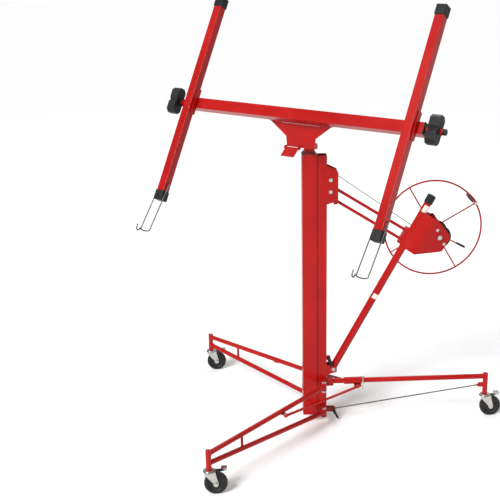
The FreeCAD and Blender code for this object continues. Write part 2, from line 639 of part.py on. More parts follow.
# ================================================================ casters
def caster_fork():
    """Swivel fork at the Z axis: stem, race, crown and two tapered cheeks with the axle bolt's holes."""
    crown_low = WHEEL_R * 2 + FORK_GAP
    race_top = SLEEVE_BOTTOM - SLIDE
    crown = rod(V(0, 0, crown_low), V(0, 0, crown_low + 3), CROWN_R)
    race = rod(V(0, 0, crown_low + 3), V(0, 0, race_top), CROWN_R - 5)
    stem = rod(V(0, 0, race_top), V(0, 0, STEM_TOP), STEM_R)
    inside = WHEEL_W / 2 + FORK_GAP
    outline = [(-20, crown_low + 3), (-20, crown_low - 6), (CASTER_TRAIL - 11, WHEEL_R + 4),
               (CASTER_TRAIL - 11, WHEEL_R), (CASTER_TRAIL + 11, WHEEL_R), (CASTER_TRAIL + 11, WHEEL_R + 6),
               (28, crown_low - 4), (28, crown_low + 3)]
    cheeks = []
    for low in (inside, -inside - FORK_T):
        cheek = prism_x(outline, low, low + FORK_T)
        tip = rod(V(low, CASTER_TRAIL, WHEEL_R), V(low + FORK_T, CASTER_TRAIL, WHEEL_R), 11)
        cheeks.append(fuse([cheek, tip]))
    bridge = box(-inside - FORK_T, inside + FORK_T, -20, 28, crown_low, crown_low + 3)
    body = fuse([crown, race, stem, bridge] + cheeks)
    return body.cut(disc(V(0, CASTER_TRAIL, WHEEL_R), X_AXIS, AXLE_R, 4 * WHEEL_W))


def caster_axle():
    """Axle bolt through both cheeks."""
    inside = WHEEL_W / 2 + FORK_GAP
    return bolt(V(0, CASTER_TRAIL, WHEEL_R), X_AXIS, AXLE_R, 2 * (inside + FORK_T))


def caster_wheel():
    """Solid wheel: rounded tread, recessed web and a wider hub, on the axle's axis."""
    half = WHEEL_W / 2
    rim_in = WHEEL_R * 0.72
    hub = 13.0
    web = half - 5
    hub_half = half + FORK_GAP - FACE
    bore = AXLE_R + RUN
    outline = [(bore, -hub_half), (hub, -hub_half), (hub, -web), (rim_in, -web), (rim_in + 2, -half),
               (WHEEL_R - 4, -half), (WHEEL_R, -half + 4), (WHEEL_R, half - 4), (WHEEL_R - 4, half),
               (rim_in + 2, half), (rim_in, web), (hub, web), (hub, hub_half), (bore, hub_half)]
    points = [V(x, CASTER_TRAIL, WHEEL_R + r) for r, x in outline]
    face = Part.Face(Part.makePolygon(points + points[:1]))
    return face.revolve(V(0, CASTER_TRAIL, WHEEL_R), X_AXIS, 360)


PEDAL_Y = 4.0
PEDAL_Z = 92.0
PEDAL_T = 2.5


def brake_pedal():
    """Foot pedal on the fork's far cheek, on a short pivot pin."""
    cheek = WHEEL_W / 2 + FORK_GAP + FORK_T
    x1 = -cheek - SLIDE
    x0 = x1 - PEDAL_T
    arm = prism_x([(PEDAL_Y - 9, PEDAL_Z - 6), (PEDAL_Y + 8, PEDAL_Z - 9), (76, PEDAL_Z + 2), (76, PEDAL_Z + 12),
                   (PEDAL_Y - 4, PEDAL_Z + 8)], x0, x1)
    tread = box(x0 - 22, x1, 50, 76, PEDAL_Z + 9, PEDAL_Z + 12)
    pin = rod(V(x0 - 3, PEDAL_Y, PEDAL_Z), V(x1, PEDAL_Y, PEDAL_Z), 5)
    return fuse([arm, tread, pin])


CASTER_PLACES = {"right": V(FRONT_X, FRONT_Y, 0), "left": V(-FRONT_X, FRONT_Y, 0), "rear": V(0, REAR_Y, 0)}


# ================================================================ winch post, brace and pulley
def winch_post():
    """Round post with a crossing hole for its foot bolt."""
    tube = pipe(V(0, 0, -POST_TAIL), V(0, 0, POST_L - 3), POST_R, POST_R - POST_WALL)
    return placed(tube.cut(disc(V(0, 0, 0), X_AXIS, FOOT_BOLT_R, 4 * POST_R)), POST_FRAME)


def post_cap():
    """Black cap pushed over the post's top."""
    cap = rod(V(0, 0, POST_L - POST_CAP_L), V(0, 0, POST_L), POST_R + 3)
    return placed(cap.cut(rod(V(0, 0, 0), V(0, 0, POST_L - 3), POST_R + PRESSED)), POST_FRAME)


PULLEY_PLATE_IN = CHANNEL_W / 2
PLATE_OUTLINE = [(COLUMN_W / 2 + 34, PULLEY_Z + 68), (PULLEY_Y + 30, PULLEY_Z + 40),
                 (PULLEY_Y + 34, PULLEY_Z + 32), (PULLEY_Y + 34, PULLEY_Z - 96),
                 (COLUMN_W / 2 + 34, PULLEY_Z - 116)]


def pulley_plates():
    """Two cheek plates on the channel's sides that carry the top pulley and the brace."""
    plate = prism_x(PLATE_OUTLINE, PULLEY_PLATE_IN, PULLEY_PLATE_IN + PULLEY_PLATE_T)
    for z in (PULLEY_Z, LOWER_PLATE_BOLT_Z):
        plate = plate.cut(disc(V(PULLEY_PLATE_IN, PULLEY_Y, z), X_AXIS, FOOT_BOLT_R, 4 * PULLEY_PLATE_T))
    return [plate, mirrored(plate)]


def cable_pulley():
    """Grooved pulley with a hub as long as the gap between its cheek plates."""
    half = PULLEY_W / 2
    hub_half = PULLEY_PLATE_IN - FACE
    bore = FOOT_BOLT_R + RUN
    groove = PULLEY_R - ROPE_R - SLIDE
    outline = [(bore, -hub_half), (11, -hub_half), (11, -half), (PULLEY_R + 4, -half), (PULLEY_R + 4, -half + 2),
               (groove, -ROPE_R - 0.8), (groove, ROPE_R + 0.8), (PULLEY_R + 4, half - 2), (PULLEY_R + 4, half),
               (11, half), (11, hub_half), (bore, hub_half)]
    points = [V(x, PULLEY_Y, PULLEY_Z + r) for r, x in outline]
    face = Part.Face(Part.makePolygon(points + points[:1]))
    return face.revolve(V(0, PULLEY_Y, PULLEY_Z), X_AXIS, 360)


def on_post(x, back, along):
    """Point in the model's frame from a place in the post's frame."""
    return POST_FRAME.multVec(V(x, back, along))


BRACE_TAIL = on_post(0, -POST_R - 6, BRACE_S)
BRACE_HEAD = V(0, BRACE_HEAD_Y, BRACE_HEAD_Z)
BRACE_DIR = V(BRACE_TAIL.sub(BRACE_HEAD)).normalize()
BRACE_DOWN = V(0, -BRACE_DIR.z, BRACE_DIR.y) * -1


def brace_rods(radius):
    """Two parallel rods from the cheek plates to the post."""
    rods = []
    for step in (0, BRACE_STEP):
        shift = BRACE_DOWN * step
        rods.append(rod(BRACE_HEAD.add(shift), BRACE_TAIL.add(shift), radius))
    return rods


def brace():
    """Brace: both rods welded to a cross block between the cheek plates."""
    half = PULLEY_PLATE_IN
    low = BRACE_HEAD_Z - BRACE_STEP - 22
    block = box(-half, half, BRACE_HEAD_Y - 10, BRACE_HEAD_Y + 8, low, BRACE_HEAD_Z + 8)
    return fuse([block] + brace_rods(BRACE_R))


def brace_clamp():
    """Half clamp on the post's front, with the block that the brace rods end in."""
    low = BRACE_S - BRACE_STEP - 20
    high = BRACE_S + 16
    ring = rod(V(0, 0, low), V(0, 0, high), POST_R + 5)
    front = box(-60, 60, -60, -FACE, low, high)
    lug = box(-12, 12, -POST_R - 18, -POST_R - 2, low, high)
    body = fuse([ring.common(front), lug])
    clamp = placed(body.cut(rod(V(0, 0, low - 1), V(0, 0, high + 1), POST_R + PRESSED)), POST_FRAME)
    for shape in brace_rods(BRACE_R + PRESSED):
        clamp = clamp.cut(shape)
    return clamp


# ================================================================ winch
SADDLE_S0 = 668.0
SADDLE_S1 = 854.0
PLATE_FRONT_T = 50.0
PLATE_SHAPE = [(PLATE_FRONT_T, SADDLE_S0), (PLATE_FRONT_T, SADDLE_S1), (62, 860), (82, 849), (146, 819),
               (156, 799), (155, 740), (146, 730)]
WINCH_BOLTS = [(86, 815), (144, 772)]
PAWL_T = 144.0
PAWL_S = 772.0


def winch_plate():
    """Near side plate of the winch: flat cheek, and a slanted flange that runs in to the post."""
    cheek = prism_x(PLATE_SHAPE, PLATE_X - PLATE_T, PLATE_X)
    flange_outline = [(POST_R, 0), (POST_R + 4, 0), (PLATE_X, PLATE_FRONT_T - 4), (PLATE_X, PLATE_FRONT_T),
                      (PLATE_X - PLATE_T, PLATE_FRONT_T)]
    points = [V(x, back, SADDLE_S0) for x, back in flange_outline]
    flange = Part.Face(Part.makePolygon(points + points[:1])).extrude(V(0, 0, SADDLE_S1 - SADDLE_S0))
    body = fuse([cheek, flange])
    body = body.cut(disc(V(PLATE_X, DRUM_T, DRUM_S), X_AXIS, DRUM_SHAFT_R + RUN, 4 * PLATE_T))
    for back, along in WINCH_BOLTS:
        body = body.cut(disc(V(PLATE_X, back, along), X_AXIS, 4, 4 * PLATE_T))
    return body.cut(rod(V(0, 0, SADDLE_S0 - 1), V(0, 0, SADDLE_S1 + 1), POST_R + PRESSED))


ROPE_SIDE = -30.0


def cable_window():
    """Space that the far flange leaves for the lift cable on its way past the post."""
    low = DRUM_S - 60
    return box(-60, -POST_R, -5, PLATE_FRONT_T - 6, low, DRUM_S + 25)


def winch_drum():
    """Black drum: barrel with two flanges."""
    barrel = disc(V(0, DRUM_T, DRUM_S), X_AXIS, DRUM_R, 2 * DRUM_HALF)
    flanges = []
    for side in (-1, 1):
        centre = V(side * (DRUM_HALF - FLANGE_T / 2), DRUM_T, DRUM_S)
        flanges.append(disc(centre, X_AXIS, FLANGE_R, FLANGE_T))
    body = fuse([barrel] + flanges)
    return body.cut(disc(V(0, DRUM_T, DRUM_S), X_AXIS, DRUM_SHAFT_R, 4 * DRUM_HALF))


def rope_pack():
    """Layer of wound cable on the drum's barrel, between the flanges."""
    width = 2 * (DRUM_HALF - FLANGE_T)
    outer = disc(V(0, DRUM_T, DRUM_S), X_AXIS, ROPE_PACK_R, width)
    return outer.cut(disc(V(0, DRUM_T, DRUM_S), X_AXIS, DRUM_R, 2 * width))


GRIP_ANGLE = radians(SPOKE_TURN)
GRIP_BACK = DRUM_T + HANDWHEEL_R * sin(GRIP_ANGLE)
GRIP_ALONG = DRUM_S + HANDWHEEL_R * cos(GRIP_ANGLE)
SPINDLE_END_R = 5.0
GRIP_COLLAR = 12.0


def drum_shaft():
    """Shaft through the drum and the hand wheel, and the grip's spindle at the rim."""
    shaft = rod(V(-WHEEL_X - 16, DRUM_T, DRUM_S), V(PLATE_X + 4, DRUM_T, DRUM_S), DRUM_SHAFT_R)
    nut = hex_bar(V(PLATE_X + 6.5, DRUM_T, DRUM_S), X_AXIS, 20, 7)
    start = V(-WHEEL_X + RIM_R + 5, GRIP_BACK, GRIP_ALONG)
    end = V(-WHEEL_X - RIM_R - GRIP_COLLAR - GRIP_L - 4, GRIP_BACK, GRIP_ALONG)
    spindle = rod(start, end, SPINDLE_END_R)
    collar = rod(V(-WHEEL_X - RIM_R, GRIP_BACK, GRIP_ALONG),
                 V(-WHEEL_X - RIM_R - GRIP_COLLAR + SLIDE, GRIP_BACK, GRIP_ALONG), 9)
    tail = hex_bar(V(-WHEEL_X + RIM_R + 3, GRIP_BACK, GRIP_ALONG), X_AXIS, 14, 5)
    end_nut = disc(end, X_AXIS, 8, 3)
    return [fuse([shaft, nut]), fuse([spindle, collar, tail, end_nut])]


def hand_wheel():
    """Hand wheel: round-bar rim, four spokes, hub and the boss that the grip's spindle passes through."""
    centre = V(-WHEEL_X, DRUM_T, DRUM_S)
    rim = Part.makeTorus(HANDWHEEL_R, RIM_R, centre, X_AXIS)
    hub = disc(centre, X_AXIS, HUB_R, 30)
    pieces = [rim, hub]
    for quarter in range(4):
        angle = GRIP_ANGLE + quarter * pi / 2
        tip = centre.add(V(0, HANDWHEEL_R * sin(angle), HANDWHEEL_R * cos(angle)))
        pieces.append(rod(centre, tip, SPOKE_R))
    pieces.append(disc(V(-WHEEL_X, GRIP_BACK, GRIP_ALONG), X_AXIS, 9, 2 * RIM_R))
    body = fuse(pieces).cut(disc(centre, X_AXIS, DRUM_SHAFT_R, 80))
    return body.cut(disc(V(-WHEEL_X, GRIP_BACK, GRIP_ALONG), X_AXIS, SPINDLE_END_R, 80))


def crank_grip():
    """Tapered grip that spins on its spindle."""
    base = V(-WHEEL_X - RIM_R - GRIP_COLLAR, GRIP_BACK, GRIP_ALONG)
    profile = [(SPINDLE_END_R + RUN, 0), (GRIP_R - 3, 0), (GRIP_R - 1, 6), (GRIP_R, 45), (GRIP_R - 2, GRIP_L - 10),
               (GRIP_R - 5, GRIP_L), (SPINDLE_END_R + RUN, GRIP_L)]
    points = [V(base.x - x, base.y, base.z + r) for r, x in profile]
    face = Part.Face(Part.makePolygon(points + points[:1]))
    return face.revolve(base, X_AXIS, 360)


BRAKE_X0 = DRUM_HALF + 0.8
BRAKE_T = 3.2
BRAKE_REACH = 52.0      # lever's end beyond its pivot
BRAKE_S = 800.0         # line of the lever's long arm along the post
BRAKE_GRIP_L = 50.0
BRAKE_GRIP_R = 5.5


def brake_lever():
    """Lever of the drum brake between the flange and the near side plate: eye, short riser and long arm."""
    x1 = BRAKE_X0 + BRAKE_T
    arm = box(BRAKE_X0, x1, PAWL_T - 4, PAWL_T + BRAKE_REACH, BRAKE_S - 3, BRAKE_S + 3)
    riser = box(BRAKE_X0, x1, PAWL_T - 4, PAWL_T + 4, PAWL_S, BRAKE_S + 3)
    eye = rod(V(BRAKE_X0, PAWL_T, PAWL_S), V(x1, PAWL_T, PAWL_S), 9)
    hole = disc(V(BRAKE_X0, PAWL_T, PAWL_S), X_AXIS, 4 + RUN, 30)
    return fuse([arm, riser, eye]).cut(hole)


def brake_lever_grip():
    """Black sleeve on the brake lever's outer end."""
    x = BRAKE_X0 + BRAKE_T / 2
    start = PAWL_T + BRAKE_REACH - 6
    sleeve = rod(V(x, start, BRAKE_S), V(x, start + BRAKE_GRIP_L, BRAKE_S), BRAKE_GRIP_R)
    return sleeve.cut(brake_lever())


def winch_bolts():
    """Short bolts through the winch's side plates; the last near one carries the brake lever."""
    bolts = []
    inside = PLATE_X - PLATE_T
    for side in (-1, 1):
        for back, along in WINCH_BOLTS:
            head = hex_bar(V(side * (PLATE_X + 2.5), back, along), X_AXIS, 13, 5)
            shank = rod(V(side * (DRUM_HALF + FACE), back, along), V(side * (PLATE_X + 1), back, along), 4)
            pieces = [head, shank]
            if (side, back) != (1, PAWL_T):
                pieces.append(hex_bar(V(side * (inside - 1.75), back, along), X_AXIS, 13, 3.5))
            bolts.append(fuse(pieces))
    return bolts


# ================================================================ lift cable
def lift_cable():
    """Cable from the drum's underside over the top pulley and down the rear channel, pulled tight."""
    drum = on_post(ROPE_SIDE, DRUM_T, DRUM_S)
    wrap = ROPE_PACK_R + ROPE_R + SLIDE
    run_y = PULLEY_Y - drum.y
    run_z = PULLEY_Z - drum.z
    reach = sqrt(run_y * run_y + run_z * run_z)
    line = atan2(run_z, run_y) + acos((PULLEY_R + wrap) / reach)
    normal = V(0, cos(line), sin(line))
    low = drum.add(normal * wrap)
    high = V(0, PULLEY_Y, PULLEY_Z).sub(normal * PULLEY_R)
    over = V(0, PULLEY_Y, PULLEY_Z)
    start_angle = atan2(-sin(line), -cos(line))
    middle_angle = (start_angle + pi) / 2
    middle = over.add(V(0, PULLEY_R * cos(middle_angle), PULLEY_R * sin(middle_angle)))
    left = over.add(V(0, -PULLEY_R, 0))
    bottom = V(0, CABLE_Y, CABLE_LUG_Z - 14)
    path = Part.Wire([Part.LineSegment(low, high).toShape(), Part.Arc(high, middle, left).toShape(),
                      Part.LineSegment(left, bottom).toShape()])
    ring = Part.Wire([Part.Circle(low, high.sub(low), ROPE_R).toShape()])
    cable = path.makePipeShell([ring], True, True, 2)
    print("cable length", round(path.Length), "volume ratio",
          round(cable.Volume / (pi * ROPE_R ** 2 * path.Length), 4))
    ferrule = rod(bottom.add(V(0, 0, 1)), bottom.add(V(0, 0, 13)), ROPE_R + 2.5)
    return fuse([cable, ferrule])


# ================================================================ swivel head
HEAD_BASE_T = 5.0
HEAD_BASE_Z = INNER_TOP + SLIDE
HEAD_HALF_LOW = 72.0
HEAD_HALF_TOP = 160.0
HEAD_PLATE_T = 5.0
HEAD_BREAK_Z = 1390.0   # where the plate's sides turn from steep to flared
KNUCKLE_IN = 100.0      # inner end of a head knuckle
PADDLE_Z = HEAD_BASE_Z - 4.0
PADDLE_OUT = TILT_AXIS_OUT + 13.0


def head_frame():
    """Swivel head: spindle, base plate, tall trapezoid plate with a rib, and two outer hinge knuckles."""
    front = -TILT_AXIS_OUT
    low = HEAD_BASE_Z
    base_front = front - HEAD_PLATE_T / 2
    base_outline = [(-HEAD_HALF_LOW, base_front), (HEAD_HALF_LOW, base_front), (HEAD_HALF_LOW, front + 24),
                    (26, 30), (-26, 30), (-HEAD_HALF_LOW, front + 24)]
    base_points = [V(x, y, low) for x, y in base_outline]
    base = Part.Face(Part.makePolygon(base_points + base_points[:1])).extrude(V(0, 0, HEAD_BASE_T))
    spindle = rod(V(0, 0, INNER_TOP - GUIDE_H + 4), V(0, 0, low + 1), SPINDLE_R)
    top = TILT_AXIS_Z - KNUCKLE_R + 3
    outline = [(-HEAD_HALF_LOW, low), (HEAD_HALF_LOW, low), (HEAD_HALF_LOW + 4, HEAD_BREAK_Z),
               (HEAD_HALF_TOP, top), (-HEAD_HALF_TOP, top), (-HEAD_HALF_LOW - 4, HEAD_BREAK_Z)]
    plate = prism_y(outline, front - HEAD_PLATE_T / 2, front + HEAD_PLATE_T / 2)
    relief = box(-KNUCKLE_IN, KNUCKLE_IN, front - 20, front + 20, TILT_AXIS_Z - KNUCKLE_R - SLIDE - 1, top + 1)
    plate = plate.cut(relief)
    rib = prism_x([(front, low + HEAD_BASE_T), (20, low + HEAD_BASE_T), (front + 1, low + 70)], -3, 3)
    pieces = [base, spindle, plate, rib]
    for side in (-1, 1):
        start = V(side * KNUCKLE_IN, front, TILT_AXIS_Z)
        end = V(side * HEAD_HALF_TOP, front, TILT_AXIS_Z)
        pieces.append(rod(start, end, KNUCKLE_R))
        ear_x = side * 36 - 38
        pieces.append(box(ear_x - 2, ear_x + 2, -PADDLE_OUT - 5, front, PADDLE_Z - 5, low + HEAD_BASE_T))
    body = fuse(pieces)
    body = body.cut(rod(V(-300, front, TILT_AXIS_Z), V(300, front, TILT_AXIS_Z), HINGE_PIN_R))
    body = body.cut(rod(V(-100, -PADDLE_OUT, PADDLE_Z), V(100, -PADDLE_OUT, PADDLE_Z), 2.5 + RUN))
    return placed(body, HEAD_FRAME)


def tilt_pin():
    """Hinge pin with a head and a nut, fast in the head's knuckles."""
    end = HEAD_HALF_TOP + 6
    start_point = V(-end, -TILT_AXIS_OUT, TILT_AXIS_Z)
    end_point = V(end, -TILT_AXIS_OUT, TILT_AXIS_Z)
    caps = [hex_bar(V(s * (HEAD_HALF_TOP + 3), -TILT_AXIS_OUT, TILT_AXIS_Z), X_AXIS, 13, 6) for s in (-1, 1)]
    return placed(fuse([rod(start_point, end_point, HINGE_PIN_R)] + caps), HEAD_FRAME)


def tilt_latch():
    """Finger paddle of the tilt latch, on a pin between two small ears below the head's plate."""
    middle = -38.0
    half = 36 - 2 - FACE
    pin = rod(V(middle - 44, 0, 0), V(middle + 44, 0, 0), 2.5)
    barrel = rod(V(middle - half, 0, 0), V(middle + half, 0, 0), 4.5)
    paddle = box(middle - half, middle + half, -48, 0, -2, 2)
    body = fuse([pin, barrel, paddle])
    rise = FreeCAD.Placement(V(0, -PADDLE_OUT, PADDLE_Z), FreeCAD.Rotation(X_AXIS, 38))
    return placed(placed(body, rise), HEAD_FRAME)


# ================================================================ cradle, in its own frame: u, w, n from the crossbar
def crossbar():
    """Square crossbar along u with the long hinge barrel under its middle."""
    tube = square_tube(BAR_W, BAR_WALL, -BAR_HALF, BAR_HALF)
    tube.Placement = FreeCAD.Placement(V(0, 0, 0), FreeCAD.Rotation(Z_AXIS, X_AXIS))
    w0 = -BAR_BEHIND_HINGE
    n0 = -BAR_ABOVE_HINGE
    inner = KNUCKLE_IN - FACE
    barrel = rod(V(-inner, w0, n0), V(inner, w0, n0), KNUCKLE_R)
    web = box(-inner, inner, w0 - 5, w0 + 5, n0, -BAR_W / 2 + 1)
    body = fuse([tube, barrel, web])
    return placed(body.cut(rod(V(-200, w0, n0), V(200, w0, n0), HINGE_PIN_R + RUN)), CRADLE_FRAME)


def arm_brackets():
    """Shallow channels that seat each arm across the crossbar."""
    brackets = []
    half_w = ARM_BRACKET_L / 2
    for side in (-1, 1):
        u0 = side * ARM_U
        base_n = BAR_W / 2
        inside = ARM_W / 2
        outside = inside + ARM_BRACKET_T
        outer = box(u0 - outside, u0 + outside, -half_w, half_w, base_n, base_n + ARM_BRACKET_RISE)
        trough = box(u0 - inside, u0 + inside, -half_w - 1, half_w + 1, base_n + ARM_BRACKET_T, base_n + 90)
        brackets.append(placed(outer.cut(trough), CRADLE_FRAME))
    return brackets


def cradle_arm(side):
    """Square arm across the crossbar, with cross holes for the hook's pivots."""
    half = ARM_W / 2
    hollow = half - ARM_WALL
    tube = box(-half, half, -ARM_DOWN, ARM_UP, -half, half)
    long_edges = [e for e in tube.Edges if e.Length > ARM_UP]
    tube = tube.makeFillet(2.5, long_edges)
    tube = tube.cut(box(-hollow, hollow, -ARM_DOWN - 1, ARM_UP + 1, -hollow, hollow))
    tube = tube.cut(disc(V(0, HOOK_T, 0), X_AXIS, HOOK_R + RUN, 2 * ARM_W))
    return placed(tube, arm_frame(side))


def arm_frame(side):
    """Frame of one arm: u across it, w along it, n away from the crossbar."""
    return frame_of(CRADLE_FRAME.multVec(V(side * ARM_U, 0, ARM_N)), U_DIR, W_DIR, N_DIR)


def cradle_caps():
    """Black caps on the four arm ends, and black bushes in the crossbar's mouths."""
    shapes = []
    outer = ARM_W / 2 + CAP_WALL
    inner = ARM_W / 2
    for side in (-1, 1):
        for end, sign in ((ARM_UP, 1), (-ARM_DOWN, -1)):
            open_end = end - sign * (CAP_L - CAP_WALL)
            closed_end = end + sign * CAP_WALL
            shell = box(-outer, outer, min(open_end, closed_end), max(open_end, closed_end), -outer, outer)
            long_edges = [e for e in shell.Edges if abs(e.Length - CAP_L) < 0.01]
            shell = shell.makeFillet(4, long_edges)
            room = box(-inner, inner, min(open_end - sign, end), max(open_end - sign, end), -inner, inner)
            shapes.append(placed(shell.cut(room), arm_frame(side)))
    half = BAR_W / 2 - BAR_WALL
    for side in (-1, 1):
        u_in = side * (BAR_HALF - 30)
        u_out = side * (BAR_HALF + 5)
        plug = box(min(u_in, side * BAR_HALF), max(u_in, side * BAR_HALF), -half, half, -half, half)
        lip_low = min(side * BAR_HALF, u_out)
        lip = box(lip_low, lip_low + 5, -BAR_W / 2, BAR_W / 2, -BAR_W / 2, BAR_W / 2)
        bush = fuse([plug, lip])
        bore = rod(V(u_in - 50, 0, 0), V(u_in + 90, 0, 0), OUTRIGGER_R + SLIDE)
        shapes.append(placed(bush.cut(bore), CRADLE_FRAME))
    return shapes


def outrigger(side):
    """Round extension tube that slides in the crossbar, with an inner foot and its end plug's seat."""
    inner = OUTRIGGER_START + DRAWN_OUT[side]
    start = V(side * inner, 0, 0)
    end = V(side * (PAD_U + DRAWN_OUT[side] + PAD_W / 2 + 10), 0, 0)
    tube = pipe(start, end, OUTRIGGER_R, OUTRIGGER_R - 2)
    foot_half = BAR_W / 2 - BAR_WALL - SLIDE
    low = min(side * inner, side * (inner + 20))
    foot = box(low, low + 20, -foot_half, foot_half, -foot_half, foot_half)
    hollow = rod(V(low - 1, 0, 0), V(low + 21, 0, 0), OUTRIGGER_R - 2)
    return placed(fuse([tube, foot.cut(hollow)]), CRADLE_FRAME)


def outrigger_pad(side):
    """Black support pad with chamfered ends on the extension tube, and the plug in the tube's end."""
    half = PAD_L / 2
    low = -10.0
    high = low + PAD_H
    cut = 14.0
    waist = 12.0
    outline = [(-half, low + cut), (-half + cut, low), (half - cut, low), (half, low + cut), (half, high - cut),
               (half - cut, high), (waist, high), (0, high - 8), (-waist, high), (-half + cut, high),
               (-half, high - cut)]
    middle = PAD_U + DRAWN_OUT[side]
    u0 = side * middle - PAD_W / 2
    block = prism_x(outline, u0, u0 + PAD_W)
    neck = rod(V(side * (middle - PAD_W / 2 - 8), 0, 0), V(side * (middle + PAD_W / 2), 0, 0), OUTRIGGER_R + 5)
    bore = rod(V(side * 500, 0, 0), V(side * 900, 0, 0), OUTRIGGER_R)
    body = fuse([block, neck]).cut(bore)
    end = side * (middle + PAD_W / 2 + 10)
    plug = fuse([rod(V(end, 0, 0), V(end + side * 12, 0, 0), OUTRIGGER_R),
                 rod(V(end - side * 20, 0, 0), V(end, 0, 0), OUTRIGGER_R - 2)])
    return [placed(body, CRADLE_FRAME), placed(plug, CRADLE_FRAME)]


def panel_hook(side):
    """Wire hook on an arm: cross pin, two side wires, bowed cross wire, and a curl that holds a panel's edge."""
    s = HOOK_SIDE
    end = V(0, -HOOK_LEN, 0)
    left = V(-s, 0, 0)
    right = V(s, 0, 0)
    loop = bent_rod([left, left.add(end), V(0, -HOOK_LEN - 7, 0), right.add(end), right], HOOK_R)
    pin = bent_rod([left, right], HOOK_R)
    balls = [Part.makeSphere(HOOK_R, left), Part.makeSphere(HOOK_R, right)]
    curl_points = [left.add(end)]
    for step in range(7):
        angle = pi * step / 6
        curl_points.append(V(-s - 6, -HOOK_LEN - HOOK_CURL_R * sin(angle) - 2,
                             HOOK_CURL_R * (1 - cos(angle))))
    curl_points.append(curl_points[-1].add(V(0, 14, 2)))
    curl = bent_rod(curl_points, HOOK_R)
    body = fuse([loop, pin, curl] + balls)
    turn = FreeCAD.Placement(V(0, HOOK_T, 0), FreeCAD.Rotation(X_AXIS, -HOOK_SWING))
    return placed(placed(body, turn), arm_frame(side))


# ================================================================ fasteners of the frame
def frame_bolts():
    """Leg hinge bolts, the post's foot bolt, the pulley plates' bolts and the winch's bolts."""
    shapes = []
    ear_span = BARREL_H + 2 * SLIDE + 2 * EAR_T
    for level in (UPPER_Z, LOWER_Z):
        for side in (-1, 1):
            shapes.append(bolt(V(side * HINGE_X, HINGE_Y, level), Z_AXIS, HINGE_BOLT_R, ear_span))
    shapes.append(bolt(V(0, POST_FOOT_Y, POST_FOOT_Z), X_AXIS, FOOT_BOLT_R, 2 * (FOOT_EAR_IN + FOOT_EAR_T)))
    for z in (PULLEY_Z, LOWER_PLATE_BOLT_Z):
        shapes.append(bolt(V(0, PULLEY_Y, z), X_AXIS, FOOT_BOLT_R, 2 * (PULLEY_PLATE_IN + PULLEY_PLATE_T)))
    shapes += [placed(b, POST_FRAME) for b in winch_bolts()]
    return shapes


# ================================================================ build
os.makedirs("parts", exist_ok=True)

save("column_tube", column_tube())
save("cable_channel", cable_channel())
save("column_top_guide", column_top_guide())
save("base_ears", *hinge_wings(), *tie_ears(), *post_foot_ears())
save("frame_bolts", *frame_bolts())

save("middle_section", middle_section())
save("middle_guides", *middle_guides())
save("inner_section", square_tube(INNER_W, SECTION_WALL, INNER_BOTTOM, INNER_TOP))
save("inner_guides", *inner_guides())

right_leg = placed(front_leg(), LEG_FRAME)
save("front_leg_right", right_leg)
save("front_leg_left", mirrored(right_leg))
save("link_bar_right", link_bar())
save("link_bar_left", mirrored(link_bar()))
save("link_bolts_right", *link_bolts())
save("link_bolts_left", *[mirrored(b) for b in link_bolts()])
save("rear_leg", rear_leg())
save("leg_collar", leg_collar())
save("collar_clamp_screw", clamp_screw())
save("tie_rod", tie_rod())
save("base_lever", base_lever())
save("base_lever_grip", base_lever_grip())
save("foot_latch", foot_latch())

for name, place in CASTER_PLACES.items():
    seat = FreeCAD.Placement(place, FreeCAD.Rotation())
    save("caster_fork_" + name, placed(caster_fork(), seat), placed(caster_axle(), seat))
    save("caster_wheel_" + name, placed(caster_wheel(), seat))
    save("brake_pedal_" + name, placed(brake_pedal(), seat))

save("winch_post", winch_post())
save("post_cap", post_cap())
save("pulley_plates", *pulley_plates())
save("cable_pulley", cable_pulley())
save("brace", brace())
save("brace_clamp", brace_clamp())

near_plate = winch_plate()
far_plate = mirrored(near_plate).cut(cable_window())
save("winch_plate_near", placed(near_plate, POST_FRAME))
save("winch_plate_far", placed(far_plate, POST_FRAME))
save("winch_drum", placed(winch_drum(), POST_FRAME))
save("rope_pack", placed(rope_pack(), POST_FRAME))
save("drum_shaft", *[placed(s, POST_FRAME) for s in drum_shaft()])
save("hand_wheel", placed(hand_wheel(), POST_FRAME))
save("crank_grip", placed(crank_grip(), POST_FRAME))
save("brake_lever", placed(brake_lever(), POST_FRAME))
save("brake_lever_grip", placed(brake_lever_grip(), POST_FRAME))
save("lift_cable", lift_cable())

save("head_frame", head_frame())
save("tilt_pin", tilt_pin())
save("tilt_latch", tilt_latch())
save("crossbar", crossbar())
save("arm_brackets", *arm_brackets())
save("cradle_arms", cradle_arm(-1), cradle_arm(1))
save("cradle_caps", *cradle_caps())
for name, side in (("left", -1), ("right", 1)):
    save("outrigger_" + name, outrigger(side))
    save("outrigger_pad_" + name, *outrigger_pad(side))
    save("panel_hook_" + name, panel_hook(side))
print("leg", round(LEG_L, 1), "link", round(LINK_POINT.sub(LUG_POINT).Length, 1),
      "leg angle", round(degrees(atan2(LEG_DIR.y, LEG_DIR.x)), 2))
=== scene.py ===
# %% [markdown]
# # A plasterboard panel hoist
# The hoist is a welded steel machine: a folding base on three casters, a telescopic mast, a cable winch
# with a large hand wheel, and a tilting cradle with wire hooks. Its measured parts come in as a fixed
# frame of CAD bodies. This lesson gives every part its finish, and adds the pieces that need a finer
# surface than CAD gives.

# %% Load the frame and keep its box
import json
import math
import bmesh
import bpy
import numpy as np
from mathutils import Matrix, Vector


